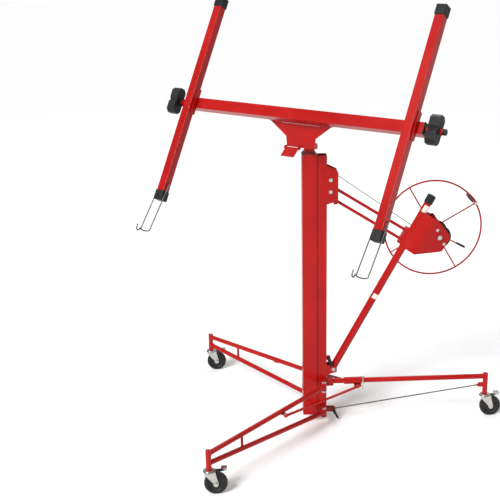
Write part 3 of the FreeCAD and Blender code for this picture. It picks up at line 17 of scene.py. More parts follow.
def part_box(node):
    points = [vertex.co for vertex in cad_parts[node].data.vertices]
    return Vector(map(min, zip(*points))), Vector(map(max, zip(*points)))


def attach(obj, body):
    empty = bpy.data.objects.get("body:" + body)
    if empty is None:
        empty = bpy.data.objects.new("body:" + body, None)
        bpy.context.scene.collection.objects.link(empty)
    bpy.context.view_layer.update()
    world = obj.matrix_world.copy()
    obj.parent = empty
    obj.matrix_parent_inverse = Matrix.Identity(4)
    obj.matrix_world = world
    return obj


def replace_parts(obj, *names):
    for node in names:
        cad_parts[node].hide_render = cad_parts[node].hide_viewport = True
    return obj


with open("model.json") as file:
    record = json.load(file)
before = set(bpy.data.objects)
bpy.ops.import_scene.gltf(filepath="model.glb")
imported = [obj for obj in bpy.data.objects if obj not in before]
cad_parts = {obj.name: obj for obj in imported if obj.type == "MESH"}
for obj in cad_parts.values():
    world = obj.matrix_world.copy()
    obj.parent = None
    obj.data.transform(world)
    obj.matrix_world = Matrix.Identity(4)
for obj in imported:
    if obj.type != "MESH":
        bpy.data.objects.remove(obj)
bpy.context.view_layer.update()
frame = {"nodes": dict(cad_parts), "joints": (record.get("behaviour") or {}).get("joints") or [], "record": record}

NODES = frame["nodes"]
JOINTS = {joint["name"]: joint for joint in frame["joints"]}
SLOT_OF = {row["node"]: row["material_slot"] for row in frame["record"]["subparts"]}


# %% [markdown]
# ## Building surfaces from arrays
# Ropes, grips, wheels and caps are smooth shapes. They could be modelled by hand from primitives, but a
# short formula is easier to read and to change. Each shape here is a grid of points, worked out as a
# whole array with numpy, and one helper turns any such grid into a mesh.

# %% Turn a grid of points into a mesh piece
def grid_piece(name, points, body, wrap_rows=False):
    """Mesh from an array of rows x columns x 3. Columns always close on themselves, like rings round a tube.
    Rows close too if wrap_rows is set; otherwise a fan around its mean point closes each end ring."""
    points = np.asarray(points, float)
    rows, columns, _ = points.shape
    count = rows * columns
    row = np.arange(rows if wrap_rows else rows - 1)[:, None]
    column = np.arange(columns)[None, :]
    next_row, next_column = (row + 1) % rows, (column + 1) % columns
    corner = [row * columns + column, row * columns + next_column,
              next_row * columns + next_column, next_row * columns + column]
    faces = np.stack(np.broadcast_arrays(*corner), -1).reshape(-1, 4).tolist()
    vertices = points.reshape(-1, 3)
    if not wrap_rows:
        vertices = np.vstack([vertices, points[0].mean(0), points[-1].mean(0)])
        ring = np.arange(columns)
        after = (ring + 1) % columns
        faces += np.stack([after, ring, np.full(columns, count)], -1).tolist()
        last = (rows - 1) * columns
        faces += np.stack([last + ring, last + after, np.full(columns, count + 1)], -1).tolist()
    return mesh_piece(name, vertices, faces, body)


def mesh_piece(name, vertices, faces, body):
    """Mesh object with smooth faces that ride on one body; its faces are turned outwards."""
    mesh = bpy.data.meshes.new(name)
    mesh.from_pydata(np.asarray(vertices, float).tolist(), [], faces)
    work = bmesh.new()
    work.from_mesh(mesh)
    bmesh.ops.remove_doubles(work, verts=work.verts, dist=1e-7)
    bmesh.ops.recalc_face_normals(work, faces=work.faces)
    work.to_mesh(mesh)
    work.free()
    mesh.shade_smooth()
    piece = bpy.data.objects.new(name, mesh)
    bpy.context.scene.collection.objects.link(piece)
    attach(piece, body)
    return piece


def unit(vector):
    """Vectors of length 1, along the last axis of an array."""
    vector = np.asarray(vector, float)
    return vector / np.linalg.norm(vector, axis=-1, keepdims=True)


# %% [markdown]
# ## Turned shapes and swept shapes
# A grip, a wheel and a ferrule are turned: one outline goes round an axis. A rope, a wire hook and a weld
# bead are swept: a small ring of points travels along a path. The ring must not twist on the way, so its
# side direction is carried from point to point and only straightened against the path, which keeps the
# surface even.

# %% Turned and swept surfaces
def turned(name, outline, centre, axis, body, steps=64):
    """Outline of (along, radius) pairs turned on an axis: point = centre + along * axis + radius * ring."""
    outline = np.asarray(outline, float)
    axis = unit(axis)
    side = unit(np.cross(axis, [0.31, 0.77, 0.55]))
    other = np.cross(axis, side)
    angle = np.linspace(0, 2 * np.pi, steps, endpoint=False)
    ring = np.cos(angle)[:, None] * side + np.sin(angle)[:, None] * other
    points = (np.asarray(centre, float) + outline[:, 0, None, None] * axis
              + outline[:, 1, None, None] * ring[None])
    return grid_piece(name, points, body)


def rounded_outline(corners, radius, steps=5):
    """Outline with each corner replaced by a curve: a quadratic blend between two points near the corner."""
    corners = np.asarray(corners, float)
    rows = [corners[:1]]
    blend = np.linspace(0, 1, steps)[:, None]
    for before, corner, after in zip(corners[:-2], corners[1:-1], corners[2:]):
        back, ahead = before - corner, after - corner
        reach_back = min(radius, 0.45 * np.linalg.norm(back))
        reach_ahead = min(radius, 0.45 * np.linalg.norm(ahead))
        start = corner + unit(back) * reach_back
        end = corner + unit(ahead) * reach_ahead
        rows.append((1 - blend) ** 2 * start + 2 * blend * (1 - blend) * corner + blend ** 2 * end)
    rows.append(corners[-1:])
    return np.vstack(rows)


def carried_sides(path, closed=False):
    """Side and up directions at each path point: one point's side, made square to the next point's run."""
    ahead = np.roll(path, -1, 0) - np.roll(path, 1, 0) if closed else np.gradient(path, axis=0)
    ahead = unit(ahead)
    side = unit(np.cross(ahead[0], [0.37, 0.61, 0.70]))
    sides = np.empty_like(path)
    for i, run in enumerate(ahead):
        side = unit(side - run * np.dot(side, run))
        sides[i] = side
    if closed:
        back = unit(sides[0] - ahead[-1] * np.dot(sides[0], ahead[-1]))
        gap = np.arctan2(np.dot(np.cross(sides[-1], back), ahead[-1]), np.dot(sides[-1], back))
        turn = (gap * np.linspace(0, 1, len(path)))[:, None]
        sides = np.cos(turn) * sides + np.sin(turn) * np.cross(ahead, sides)
    return sides, np.cross(ahead, sides)


def swept(name, path, radius, body, steps=16, closed=False):
    """Round section carried along a path; the radius is one number or one per path point."""
    path = np.asarray(path, float)
    sides, ups = carried_sides(path, closed)
    angle = np.linspace(0, 2 * np.pi, steps, endpoint=False)[None, :, None]
    size = np.broadcast_to(np.asarray(radius, float), (len(path),))[:, None, None]
    points = path[:, None] + size * (np.cos(angle) * sides[:, None] + np.sin(angle) * ups[:, None])
    return grid_piece(name, points, body, wrap_rows=closed)


print("surface helpers ready")


# %% [markdown]
# ## Effects that several finishes share
# Real finishes are never one flat colour. Edges are rubbed, dust lies on faces that look up, and a large
# tone varies slowly. These effects are built once as a node group whose outputs are plain masks, and each
# material mixes its own colours with them. On the red coat the edge mask also places a painted highlight.
# The rounded-normal trick finds edges: where a softened normal differs from the true one, there is an edge.

# %% Shared node group: edges, dust and tone
def add_node(tree, kind, place=(0, 0), **settings):
    """Node of one kind with some of its properties set."""
    node = tree.nodes.new(kind)
    node.location = place
    for key, value in settings.items():
        setattr(node, key, value)
    return node


def feed(tree, socket, value):
    """Give an input its value: a link from a socket, or a constant number or colour."""
    if isinstance(value, (int, float)):
        socket.default_value = value
    elif isinstance(value, tuple):
        socket.default_value = (*value, 1.0)
    else:
        tree.links.new(value, socket)


def math_node(tree, operation, first, second=None, clamp=False):
    """Math node; each input is a socket or a number."""
    node = add_node(tree, "ShaderNodeMath", operation=operation, use_clamp=clamp)
    for index, value in enumerate((first, second)):
        if value is not None:
            feed(tree, node.inputs[index], value)
    return node.outputs[0]


def noise_node(tree, coordinates, scale, detail=3.0, roughness=0.55):
    """Noise texture's value at a scale that is a number or a socket."""
    node = add_node(tree, "ShaderNodeTexNoise")
    node.inputs["Detail"].default_value = detail
    node.inputs["Roughness"].default_value = roughness
    feed(tree, node.inputs["Scale"], scale)
    tree.links.new(coordinates, node.inputs["Vector"])
    return node.outputs["Fac"]


def ramp_between(tree, value, low, high):
    """Value mapped from low..high to 0..1 with a smooth step."""
    node = add_node(tree, "ShaderNodeMapRange", interpolation_type="SMOOTHSTEP")
    tree.links.new(value, node.inputs["Value"])
    feed(tree, node.inputs["From Min"], low)
    feed(tree, node.inputs["From Max"], high)
    return node.outputs["Result"]


def new_group(name, inputs, outputs):
    """Empty shader node group with named float inputs and outputs; returns the tree and its two end nodes."""
    tree = bpy.data.node_groups.new(name, "ShaderNodeTree")
    for label, value in inputs:
        socket = tree.interface.new_socket(label, in_out="INPUT", socket_type="NodeSocketFloat")
        socket.default_value = value
    for label in outputs:
        tree.interface.new_socket(label, in_out="OUTPUT", socket_type="NodeSocketFloat")
    return tree, add_node(tree, "NodeGroupInput", (-900, 0)), add_node(tree, "NodeGroupOutput", (900, 0))


def build_wear_and_highlight_group():
    """Group with the masks Edge, Dust, Tone and Scuff, from object coordinates and the surface's normal."""
    tree, entry, result = new_group(
        "wear_highlight_and_dust",
        [("Edge Radius", 0.002), ("Edge Amount", 0.5), ("Dust Amount", 0.3), ("Tone Scale", 4.0)],
        ["Edge", "Dust", "Tone", "Scuff"])
    coordinates = add_node(tree, "ShaderNodeTexCoord", (-900, 300))
    place = coordinates.outputs["Object"]
    geometry = add_node(tree, "ShaderNodeNewGeometry", (-900, -300))
    soft = add_node(tree, "ShaderNodeBevel", (-700, -300), samples=4)
    tree.links.new(entry.outputs["Edge Radius"], soft.inputs["Radius"])
    dot = add_node(tree, "ShaderNodeVectorMath", (-500, -300), operation="DOT_PRODUCT")
    tree.links.new(soft.outputs["Normal"], dot.inputs[0])
    tree.links.new(geometry.outputs["Normal"], dot.inputs[1])
    # Edge mask: rubbed wear on most finishes; on the red coat it also places a painted highlight.
    edge = ramp_between(tree, math_node(tree, "SUBTRACT", 1.0, dot.outputs["Value"]), 0.02, 0.25)
    edge_wear_and_highlight = noise_node(tree, place, 38.0, 5.0, 0.65)
    patchy = math_node(tree, "MULTIPLY", edge, ramp_between(tree, edge_wear_and_highlight, 0.40, 0.66))
    worn_and_highlit_edge = math_node(tree, "MULTIPLY", patchy, entry.outputs["Edge Amount"], True)
    tree.links.new(worn_and_highlit_edge, result.inputs["Edge"])
    split = add_node(tree, "ShaderNodeSeparateXYZ")
    tree.links.new(coordinates.outputs["Normal"], split.inputs[0])
    facing = ramp_between(tree, split.outputs["Z"], 0.35, 0.98)
    cloud = ramp_between(tree, noise_node(tree, place, 9.0, 6.0, 0.6), 0.38, 0.72)
    lying = math_node(tree, "MULTIPLY", facing, cloud)
    dust = math_node(tree, "MULTIPLY", lying, entry.outputs["Dust Amount"], True)
    tree.links.new(dust, result.inputs["Dust"])
    tree.links.new(noise_node(tree, place, entry.outputs["Tone Scale"], 2.0, 0.5), result.inputs["Tone"])
    stretched = add_node(tree, "ShaderNodeMapping")
    stretched.inputs["Scale"].default_value = (1.0, 1.0, 0.12)
    tree.links.new(place, stretched.inputs["Vector"])
    streak = noise_node(tree, stretched.outputs["Vector"], 160.0, 4.0, 0.7)
    tree.links.new(ramp_between(tree, streak, 0.62, 0.74), result.inputs["Scuff"])
    return tree


WEAR_AND_HIGHLIGHT = build_wear_and_highlight_group()
print("group", WEAR_AND_HIGHLIGHT.name, "with", len(WEAR_AND_HIGHLIGHT.nodes), "nodes")


# %% [markdown]
# ## Small relief
# Powder coat has a soft orange-peel skin, moulded plastic has a spark-eroded grain, and zinc plate has
# faint brushing. All are height fields at the millimetre scale. One group gives the height, and each
# material turns it into a normal with its own strength.

# %% Shared node group: fine relief
def build_relief_group():
    """Group whose Height mixes a smooth peel and a crisp grain by the Crispness input."""
    tree, entry, result = new_group("fine_relief", [("Scale", 600.0), ("Crispness", 0.3)], ["Height"])
    place = add_node(tree, "ShaderNodeTexCoord").outputs["Object"]
    peel = noise_node(tree, place, entry.outputs["Scale"], 1.5, 0.4)
    grain = add_node(tree, "ShaderNodeTexVoronoi", feature="SMOOTH_F1")
    tree.links.new(place, grain.inputs["Vector"])
    tree.links.new(entry.outputs["Scale"], grain.inputs["Scale"])
    crisp = math_node(tree, "MULTIPLY", grain.outputs["Distance"], entry.outputs["Crispness"])
    smooth = math_node(tree, "MULTIPLY", peel, math_node(tree, "SUBTRACT", 1.0, entry.outputs["Crispness"]))
    tree.links.new(math_node(tree, "ADD", crisp, smooth), result.inputs["Height"])
    return tree


RELIEF = build_relief_group()


def colour_mix(tree, factor, first, second):
    """Mix of two colours; each is a socket or three numbers."""
    node = add_node(tree, "ShaderNodeMix", data_type="RGBA")
    tree.links.new(factor, node.inputs[0])
    feed(tree, node.inputs[6], first)
    feed(tree, node.inputs[7], second)
    return node.outputs[2]


def value_mix(tree, factor, first, second):
    """Mix of two values; each is a socket or a number."""
    node = add_node(tree, "ShaderNodeMix", data_type="FLOAT")
    tree.links.new(factor, node.inputs[0])
    feed(tree, node.inputs[2], first)
    feed(tree, node.inputs[3], second)
    return node.outputs[0]


print("group", RELIEF.name, "with", len(RELIEF.nodes), "nodes")


# %% [markdown]
# ## The finishes
# Every finish starts from the same recipe: two close tones of the base colour, an edge colour, pale dust
# on top faces, and a roughness that follows all three. On most finishes the edge colour is rubbed wear; on
# the red coat it is a lighter orange-red, partly thin powder at the edges and partly a painted highlight.
# A table of numbers per finish keeps the recipe in one place. The red powder coat carries a thin clear
# layer, which gives the crisp highlights along tube edges.

# %% One recipe for every painted, plated and moulded surface
DUST_COLOUR = (0.45, 0.42, 0.38)
DUST_ROUGHNESS = 0.35
COAT_ROUGHNESS = 0.12


def finish(name, tones, edge_wear_and_highlight, roughness, metal=0.0, rubbed_metal=0.0, coat=0.0, edge=(0.002, 0.5),
           dust=0.25, tone_scale=4.0, scuff=0.08, relief=(600.0, 0.3, 0.05, 0.0004), specular=0.5):
    """Material: tones mixed by slow noise, edges turned to the edge colour (rubbed wear, and on the red coat also
    a painted highlight), dust on faces that look up.
    relief is scale, crispness, strength and the height's size in metres."""
    material = bpy.data.materials.new(name)
    material.use_nodes = True
    tree = material.node_tree
    shader = tree.nodes["Principled BSDF"]
    wear_and_highlight = add_node(tree, "ShaderNodeGroup", (-800, 0), node_tree=WEAR_AND_HIGHLIGHT)
    wear_and_highlight.inputs["Edge Radius"].default_value = edge[0]
    wear_and_highlight.inputs["Edge Amount"].default_value = edge[1]
    wear_and_highlight.inputs["Dust Amount"].default_value = dust
    wear_and_highlight.inputs["Tone Scale"].default_value = tone_scale
    tone = ramp_between(tree, wear_and_highlight.outputs["Tone"], 0.3, 0.7)
    base = colour_mix(tree, tone, tones[0], tones[1])
    # Edge colour: rubbed wear, and on the red coat a lighter orange-red that is partly a painted highlight.
    worn_and_highlit_edge = colour_mix(tree, wear_and_highlight.outputs["Edge"], base, edge_wear_and_highlight)
    dusty = colour_mix(tree, wear_and_highlight.outputs["Dust"], worn_and_highlit_edge, DUST_COLOUR)
    tree.links.new(dusty, shader.inputs["Base Color"])
    gloss = value_mix(tree, tone, roughness[0], roughness[1])
    scuffed = math_node(tree, "ADD", gloss, math_node(tree, "MULTIPLY", wear_and_highlight.outputs["Scuff"], scuff))
    matted = math_node(tree, "MULTIPLY", wear_and_highlight.outputs["Dust"], DUST_ROUGHNESS)
    settled = math_node(tree, "ADD", scuffed, matted, True)
    tree.links.new(settled, shader.inputs["Roughness"])
    if rubbed_metal != metal:
        tree.links.new(value_mix(tree, wear_and_highlight.outputs["Edge"], metal, rubbed_metal), shader.inputs["Metallic"])
    else:
        shader.inputs["Metallic"].default_value = metal
    shader.inputs["Specular IOR Level"].default_value = specular
    shader.inputs["Coat Weight"].default_value = coat
    shader.inputs["Coat Roughness"].default_value = COAT_ROUGHNESS
    fine = add_node(tree, "ShaderNodeGroup", (-800, -400), node_tree=RELIEF)
    fine.inputs["Scale"].default_value = relief[0]
    fine.inputs["Crispness"].default_value = relief[1]
    bump = add_node(tree, "ShaderNodeBump", (-300, -400))
    bump.inputs["Strength"].default_value = relief[2]
    bump.inputs["Distance"].default_value = relief[3]
    tree.links.new(fine.outputs["Height"], bump.inputs["Height"])
    tree.links.new(bump.outputs["Normal"], shader.inputs["Normal"])
    return material


MATERIALS = {
    # Red's edge colour (0.60, 0.06, 0.025): partly thin powder at the edges, partly a painted highlight.
    "red": finish("red_powder_coat", ((0.315, 0.0014, 0.0010), (0.38, 0.0030, 0.0018)), (0.60, 0.06, 0.025),
                  (0.25, 0.34), coat=0.10, edge=(0.0022, 0.75), dust=0.06, scuff=0.10,
                  relief=(420.0, 0.1, 0.10, 0.0004), specular=0.2),
    "zinc": finish("bright_zinc_plate", ((0.44, 0.44, 0.43), (0.56, 0.55, 0.50)), (0.72, 0.72, 0.71),
                   (0.24, 0.38), metal=1.0, rubbed_metal=1.0, edge=(0.0012, 0.6), dust=0.08, tone_scale=30.0,
                   scuff=0.15, relief=(900.0, 0.5, 0.10, 0.0002)),
    "black_paint": finish("black_enamel", ((0.006, 0.006, 0.0065), (0.012, 0.012, 0.011)), (0.30, 0.29, 0.28),
                          (0.22, 0.34), rubbed_metal=0.9, edge=(0.0015, 0.5), dust=0.05,
                          tone_scale=12.0, relief=(500.0, 0.2, 0.12, 0.0003), specular=0.25),
    "black_plastic": finish("grained_black_plastic", ((0.006, 0.006, 0.0065), (0.013, 0.013, 0.0135)),
                            (0.045, 0.045, 0.046), (0.40, 0.55), edge=(0.0025, 0.8), dust=0.08,
                            tone_scale=14.0, relief=(1500.0, 0.8, 0.35, 0.0003), specular=0.22),
    "tread": finish("hard_black_tread", ((0.006, 0.006, 0.0065), (0.012, 0.012, 0.012)),
                    (0.045, 0.043, 0.040), (0.28, 0.44), edge=(0.003, 0.5), dust=0.10, tone_scale=26.0,
                    scuff=0.22, relief=(800.0, 0.4, 0.15, 0.0003), specular=0.30),
    "nylon": finish("dark_nylon", ((0.035, 0.033, 0.031), (0.060, 0.058, 0.055)), (0.14, 0.14, 0.13),
                    (0.38, 0.50), edge=(0.0012, 0.4), dust=0.10, tone_scale=20.0,
                    relief=(1000.0, 0.3, 0.10, 0.0002), specular=0.3),
    "rope": finish("drawn_rope_wire", ((0.20, 0.20, 0.20), (0.34, 0.33, 0.32)), (0.50, 0.49, 0.47),
                   (0.28, 0.42), metal=1.0, rubbed_metal=1.0, edge=(0.0004, 0.4), dust=0.05, tone_scale=60.0,
                   relief=(2500.0, 0.6, 0.20, 0.0001)),
    "dull_wire": finish("dull_steel_wire", ((0.10, 0.10, 0.10), (0.17, 0.165, 0.16)), (0.42, 0.41, 0.40),
                        (0.30, 0.42), metal=1.0, rubbed_metal=1.0, edge=(0.0008, 0.4), dust=0.04,
                        tone_scale=40.0, scuff=0.2, relief=(1600.0, 0.6, 0.15, 0.0001)),
}
DARKER = {"tie_rod": "dull_wire", "foot_latch": "black_paint", "base_lever": "black_paint"}
for node_name, node in NODES.items():
    node.data.materials.clear()
    node.data.materials.append(MATERIALS[DARKER.get(node_name, SLOT_OF[node_name])])
print("finishes", sorted(MATERIALS))


def dress(piece, slot):
    """Give a new piece the finish of one slot."""
    piece.data.materials.clear()
    piece.data.materials.append(MATERIALS[slot])
    return piece


# %% [markdown]
# ## The wire rope
# The lift cable is six strands laid round a core. A smooth tube would look like plastic, so the section
# is a ring with six lobes, and the ring turns as it travels. One lay, or full turn, takes about seven
# rope diameters. The path is the one that the CAD cable follows: off the drum, over the top pulley and
# down the channel.

# %% Lobed rope section carried along a path
ROPE_R = 0.0020
ROPE_LAY = 0.028
LOBE_BASE, LOBE_SWELL = 0.84, 0.16


def rope(name, path, body, steps=24):
    """Six-lobed ring carried along a path: radius = R (0.84 + 0.16 |cos(3 (angle - twist))|), where the twist
    grows with the length already travelled."""
    path = np.asarray(path, float)
    sides, ups = carried_sides(path)
    travelled = np.concatenate([[0], np.cumsum(np.linalg.norm(np.diff(path, axis=0), axis=1))])
    twist = 2 * np.pi * travelled / ROPE_LAY
    angle = np.linspace(0, 2 * np.pi, steps, endpoint=False)
    lobe = LOBE_BASE + LOBE_SWELL * np.abs(np.cos(3 * (angle[None] - twist[:, None])))
    reach = (ROPE_R * lobe)[..., None]
    points = path[:, None] + reach * (np.cos(angle)[None, :, None] * sides[:, None]
                                      + np.sin(angle)[None, :, None] * ups[:, None])
    return dress(grid_piece(name, points, body), "rope")


# %% The run from the drum over the pulley and down the channel
pulley = np.array(JOINTS["pulley_spin"]["pos_m"])
drum = np.array(JOINTS["drum_spin"]["pos_m"])
PULLEY_ROPE_R = 0.031    # rope's centre line in the pulley's groove
PACK_R = 0.0363          # rope's centre line where it leaves the drum
ROPE_SIDE = -0.030       # x at which the rope leaves the drum
PATH_STEP = 0.002
FERRULE_R = 0.0044
FERRULE_LENGTH = 0.0115


def straight(start, end, step):
    """Evenly spaced points from start up to, but without, end."""
    count = max(2, int(np.linalg.norm(np.subtract(end, start)) / step))
    share = np.linspace(0, 1, count, endpoint=False)[:, None]
    return (1 - share) * np.asarray(start) + share * np.asarray(end)


def lift_path():
    """Cross tangent from drum to pulley, an arc over the pulley, and a plumb line down to the ferrule."""
    run = pulley[1:] - drum[1:]
    line = math.atan2(run[1], run[0]) + math.acos((PULLEY_ROPE_R + PACK_R) / np.linalg.norm(run))
    normal = np.array([0, math.cos(line), math.sin(line)])
    low = drum + normal * PACK_R
    low[0] = ROPE_SIDE
    high = pulley - normal * PULLEY_ROPE_R
    start_angle = math.atan2(-math.sin(line), -math.cos(line))
    angle = np.linspace(start_angle, math.pi, 40)[:, None]
    arc = pulley + PULLEY_ROPE_R * (np.cos(angle) * [0, 1, 0] + np.sin(angle) * [0, 0, 1])
    bottom = [0, pulley[1] - PULLEY_ROPE_R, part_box("lift_cable")[0].z + ROPE_R]
    plumb = straight(arc[-1], bottom, PATH_STEP)[1:]
    return np.vstack([straight(low, high, PATH_STEP), arc, plumb, [bottom]])


lift_run = lift_path()
cable = rope("lift_cable_strands", lift_run, "frame")
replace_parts(cable, "lift_cable")
sleeve = [[0, 0.001], [0, FERRULE_R], [FERRULE_LENGTH, FERRULE_R], [FERRULE_LENGTH, 0.001]]
ferrule = turned("cable_ferrule", rounded_outline(sleeve, 0.0012), lift_run[-1], [0, 0, 1],
                 "frame", 32)
dress(ferrule, "zinc")
print("rope run", len(lift_run), "points")


# %% The wound layer on the drum
FLANGE_GAP = 0.0003
TURN_GAP = 0.00006
LAYER_DROP = 0.0043      # the wound rope's centre line lies this far inside PACK_R


def drum_layer():
    """Helix at the middle radius of the wound layer, from flange to flange, one rope width for each turn."""
    low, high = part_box("rope_pack")
    half = (high.x - low.x) / 2 - ROPE_R - FLANGE_GAP
    middle_r = PACK_R - LAYER_DROP
    turns = int(2 * half / (2 * ROPE_R + TURN_GAP))
    share = np.linspace(-1, 1, turns * 72)
    angle = share * turns * np.pi
    return np.stack([drum[0] + share * half, drum[1] + middle_r * np.cos(angle),
                     drum[2] + middle_r * np.sin(angle)], -1)


wound = rope("wound_rope", drum_layer(), "drum", steps=12)
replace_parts(wound, "rope_pack")
print("wound layer", len(wound.data.polygons), "faces")


# %% [markdown]
# ## Casters
# Each caster wheel is a hard moulding: a crowned tread with soft shoulders, a raised ring on its side, a
# dished web and a boss for the axle. A turned outline holds all of that. The swivel race above the fork
# is pressed sheet, so its rings have rolled edges, which a turned outline gives too.

# %% Wheels and swivel races
WHEEL_R = 0.050
WHEEL_HALF = 0.013


def wheel_outline():
    """Half section of a wheel, from the bore on one side over the tread to the bore on the other side."""
    side = [[WHEEL_HALF + 0.0024, 0.0055], [WHEEL_HALF + 0.0024, 0.0125], [WHEEL_HALF - 0.0045, 0.0145],
            [WHEEL_HALF - 0.0050, 0.0300], [WHEEL_HALF - 0.0008, 0.0325], [WHEEL_HALF, 0.0375],
            [WHEEL_HALF - 0.0012, 0.0392], [WHEEL_HALF, 0.0410], [WHEEL_HALF - 0.0015, 0.0470],
            [0.0070, WHEEL_R]]
    side = np.array(side)
    return np.vstack([side, side[::-1] * [-1, 1]])


for name in ("left", "right", "rear"):
    joint = JOINTS["wheel_%s_roll" % name]
    wheel = turned("wheel_moulding_" + name, rounded_outline(wheel_outline(), 0.0024),
                   joint["pos_m"], [1, 0, 0], "wheel_" + name, 96)
    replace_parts(dress(wheel, "tread"), "caster_wheel_" + name)
    stem = np.array(JOINTS["caster_%s_swivel" % name]["pos_m"])
    race = [[0.1062, 0.004], [0.1062, 0.0235], [0.1075, 0.0250], [0.1090, 0.0235], [0.1093, 0.0190],
            [0.1118, 0.0186], [0.1118, 0.004]]
    cup = turned("swivel_race_" + name, rounded_outline(race, 0.0008), [stem[0], stem[1], 0], [0, 0, 1],
                 "caster_" + name, 64)
    dress(cup, "zinc")
print("casters dressed")


# %% [markdown]
# ## Grips, cap and labels
# Hands touch three grips: the hand wheel's, the brake lever's and the tension lever's. They are soft
# mouldings with rounded ends and shallow rings. The post carries two plain paper labels, left blank here,
# which are thin sheets bent round the tube.

# %% Grips
def ringed_outline(length, radii, rings, depth, samples=90):
    """Outline that swells between the given radii, with evenly spaced shallow rings and rounded ends."""
    share = np.linspace(0, 1, samples)
    swell = np.interp(share, np.linspace(0, 1, len(radii)), radii)
    ripple = depth * (0.5 - 0.5 * np.cos(2 * np.pi * rings * share))
    ends = np.sqrt(np.clip(1 - (2 * np.abs(share - 0.5)) ** 14, 0, 1))
    radius = (swell - ripple) * (0.35 + 0.65 * ends)
    outline = np.stack([share * length, radius], -1)
    return np.vstack([[[0, 0.0012]], outline, [[length, 0.0012]]])


grip_low, grip_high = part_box("crank_grip")
grip_place = JOINTS["grip_spin"]["pos_m"]
crank = turned("crank_grip_moulding",
               ringed_outline(grip_high.x - grip_low.x, [0.0085, 0.0110, 0.0114, 0.0106, 0.0088], 9, 0.0006),
               [grip_low.x, grip_place[1], grip_place[2]], [1, 0, 0], "crank_grip", 48)
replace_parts(dress(crank, "black_plastic"), "crank_grip")

BRAKE_GRIP_X = 0.0444
BRAKE_GRIP_BACK = 0.046
BRAKE_GRIP_RISE = 0.028
BRAKE_GRIP_LENGTH = 0.050
brake = np.array(JOINTS["brake_lever_pull"]["pos_m"])
POST_DIR = unit(np.array([0, 0.4725, 0.8813]))
POST_BACK = unit(np.array([0, 0.8813, -0.4725]))
grip_start = (np.array([BRAKE_GRIP_X, brake[1], brake[2]]) + POST_BACK * BRAKE_GRIP_BACK
              + POST_DIR * BRAKE_GRIP_RISE)
lever_grip = turned("brake_grip_moulding",
                    ringed_outline(BRAKE_GRIP_LENGTH, [0.0044, 0.0053, 0.0055, 0.0050], 9, 0.0004),
                    grip_start, POST_BACK, "brake", 40)
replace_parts(dress(lever_grip, "black_plastic"), "brake_lever_grip")

tension = np.array(JOINTS["tension_lever_turn"]["pos_m"])
LEVER_LEAN = math.radians(27.0)
TENSION_GRIP_X = 0.0108
TENSION_GRIP_START = 0.026
TENSION_GRIP_LENGTH = 0.026
hang = np.array([0, math.sin(LEVER_LEAN), -math.cos(LEVER_LEAN)])
tension_grip = turned("tension_grip_moulding",
                      ringed_outline(TENSION_GRIP_LENGTH, [0.0045, 0.0052, 0.0059, 0.0059], 5, 0.0004),
                      np.array([TENSION_GRIP_X, tension[1], tension[2]]) + hang * TENSION_GRIP_START, hang,
                      "tension_lever", 32)
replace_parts(dress(tension_grip, "black_plastic"), "base_lever_grip")
print("grips made")


# %% Post cap and blank labels
POST_FOOT = np.array([0, 0.111, 0.275])
POST_LENGTH = 0.9378
POST_R = 0.017
CAP_LENGTH = 0.0402
CAP_END_GAP = 0.0001
LABEL_WIDTH = 0.030
LABEL_TURN = 0.15
LABEL_OUTER, LABEL_INNER = 0.00030, 0.00008
LABELS = {"upper": (0.853, 0.034), "lower": (0.392, 0.024)}   # start along the post, length
cap_outline = [[0.0, 0.0172], [0.0, 0.0200], [0.0385, 0.0198], [CAP_LENGTH, 0.0150],
               [CAP_LENGTH, 0.001]]
cap_foot = POST_FOOT + POST_DIR * (POST_LENGTH - (CAP_LENGTH + CAP_END_GAP))
cap = turned("post_cap_moulding", rounded_outline(cap_outline, 0.0025), cap_foot, POST_DIR,
             "frame", 64)
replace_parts(dress(cap, "black_plastic"), "post_cap")


def label(name, along, length, width, turn):
    """Sheet bent round the post: a band of angles about the post's axis, about 0.2 mm thick."""
    half = 0.5 * width / POST_R
    angle = turn + np.concatenate([np.linspace(-half, half, 24), np.linspace(half, -half, 24)])
    reach = POST_R + np.concatenate([np.full(24, LABEL_OUTER), np.full(24, LABEL_INNER)])
    ring = reach[:, None] * (np.cos(angle)[:, None] * [1, 0, 0] + np.sin(angle)[:, None] * POST_BACK)
    share = np.linspace(along, along + length, 12)[:, None, None]
    return grid_piece(name, POST_FOOT + share * POST_DIR + ring[None], "frame")


paper = finish("label_paper", ((0.80, 0.74, 0.58), (0.86, 0.82, 0.70)), (0.62, 0.58, 0.48), (0.35, 0.5),
               edge=(0.001, 0.6), dust=0.1, tone_scale=30.0, relief=(1800.0, 0.2, 0.05, 0.0001))
for name, (along, length) in LABELS.items():
    piece = label("post_label_" + name, along, length, LABEL_WIDTH, LABEL_TURN)
    piece.data.materials.clear()
    piece.data.materials.append(paper)
print("labels made")


# %% [markdown]
# ## Weld beads
# The frame is welded by hand, and every joint of two tubes shows a rippled bead. Where a round tube meets
# a round sleeve the joint is a saddle curve: the tube's circle, pushed back until it lies on the sleeve.
# A thin ring with a wavy radius, carried along that curve, gives the stacked look of a weld.

# %% Saddle-shaped weld beads on the legs
BEAD_R = 0.0017
SADDLE_RIPPLES = 26
BEAD_WAVE = 0.004         # length of one ripple on a straight bead
BEAD_STEP = 0.0009


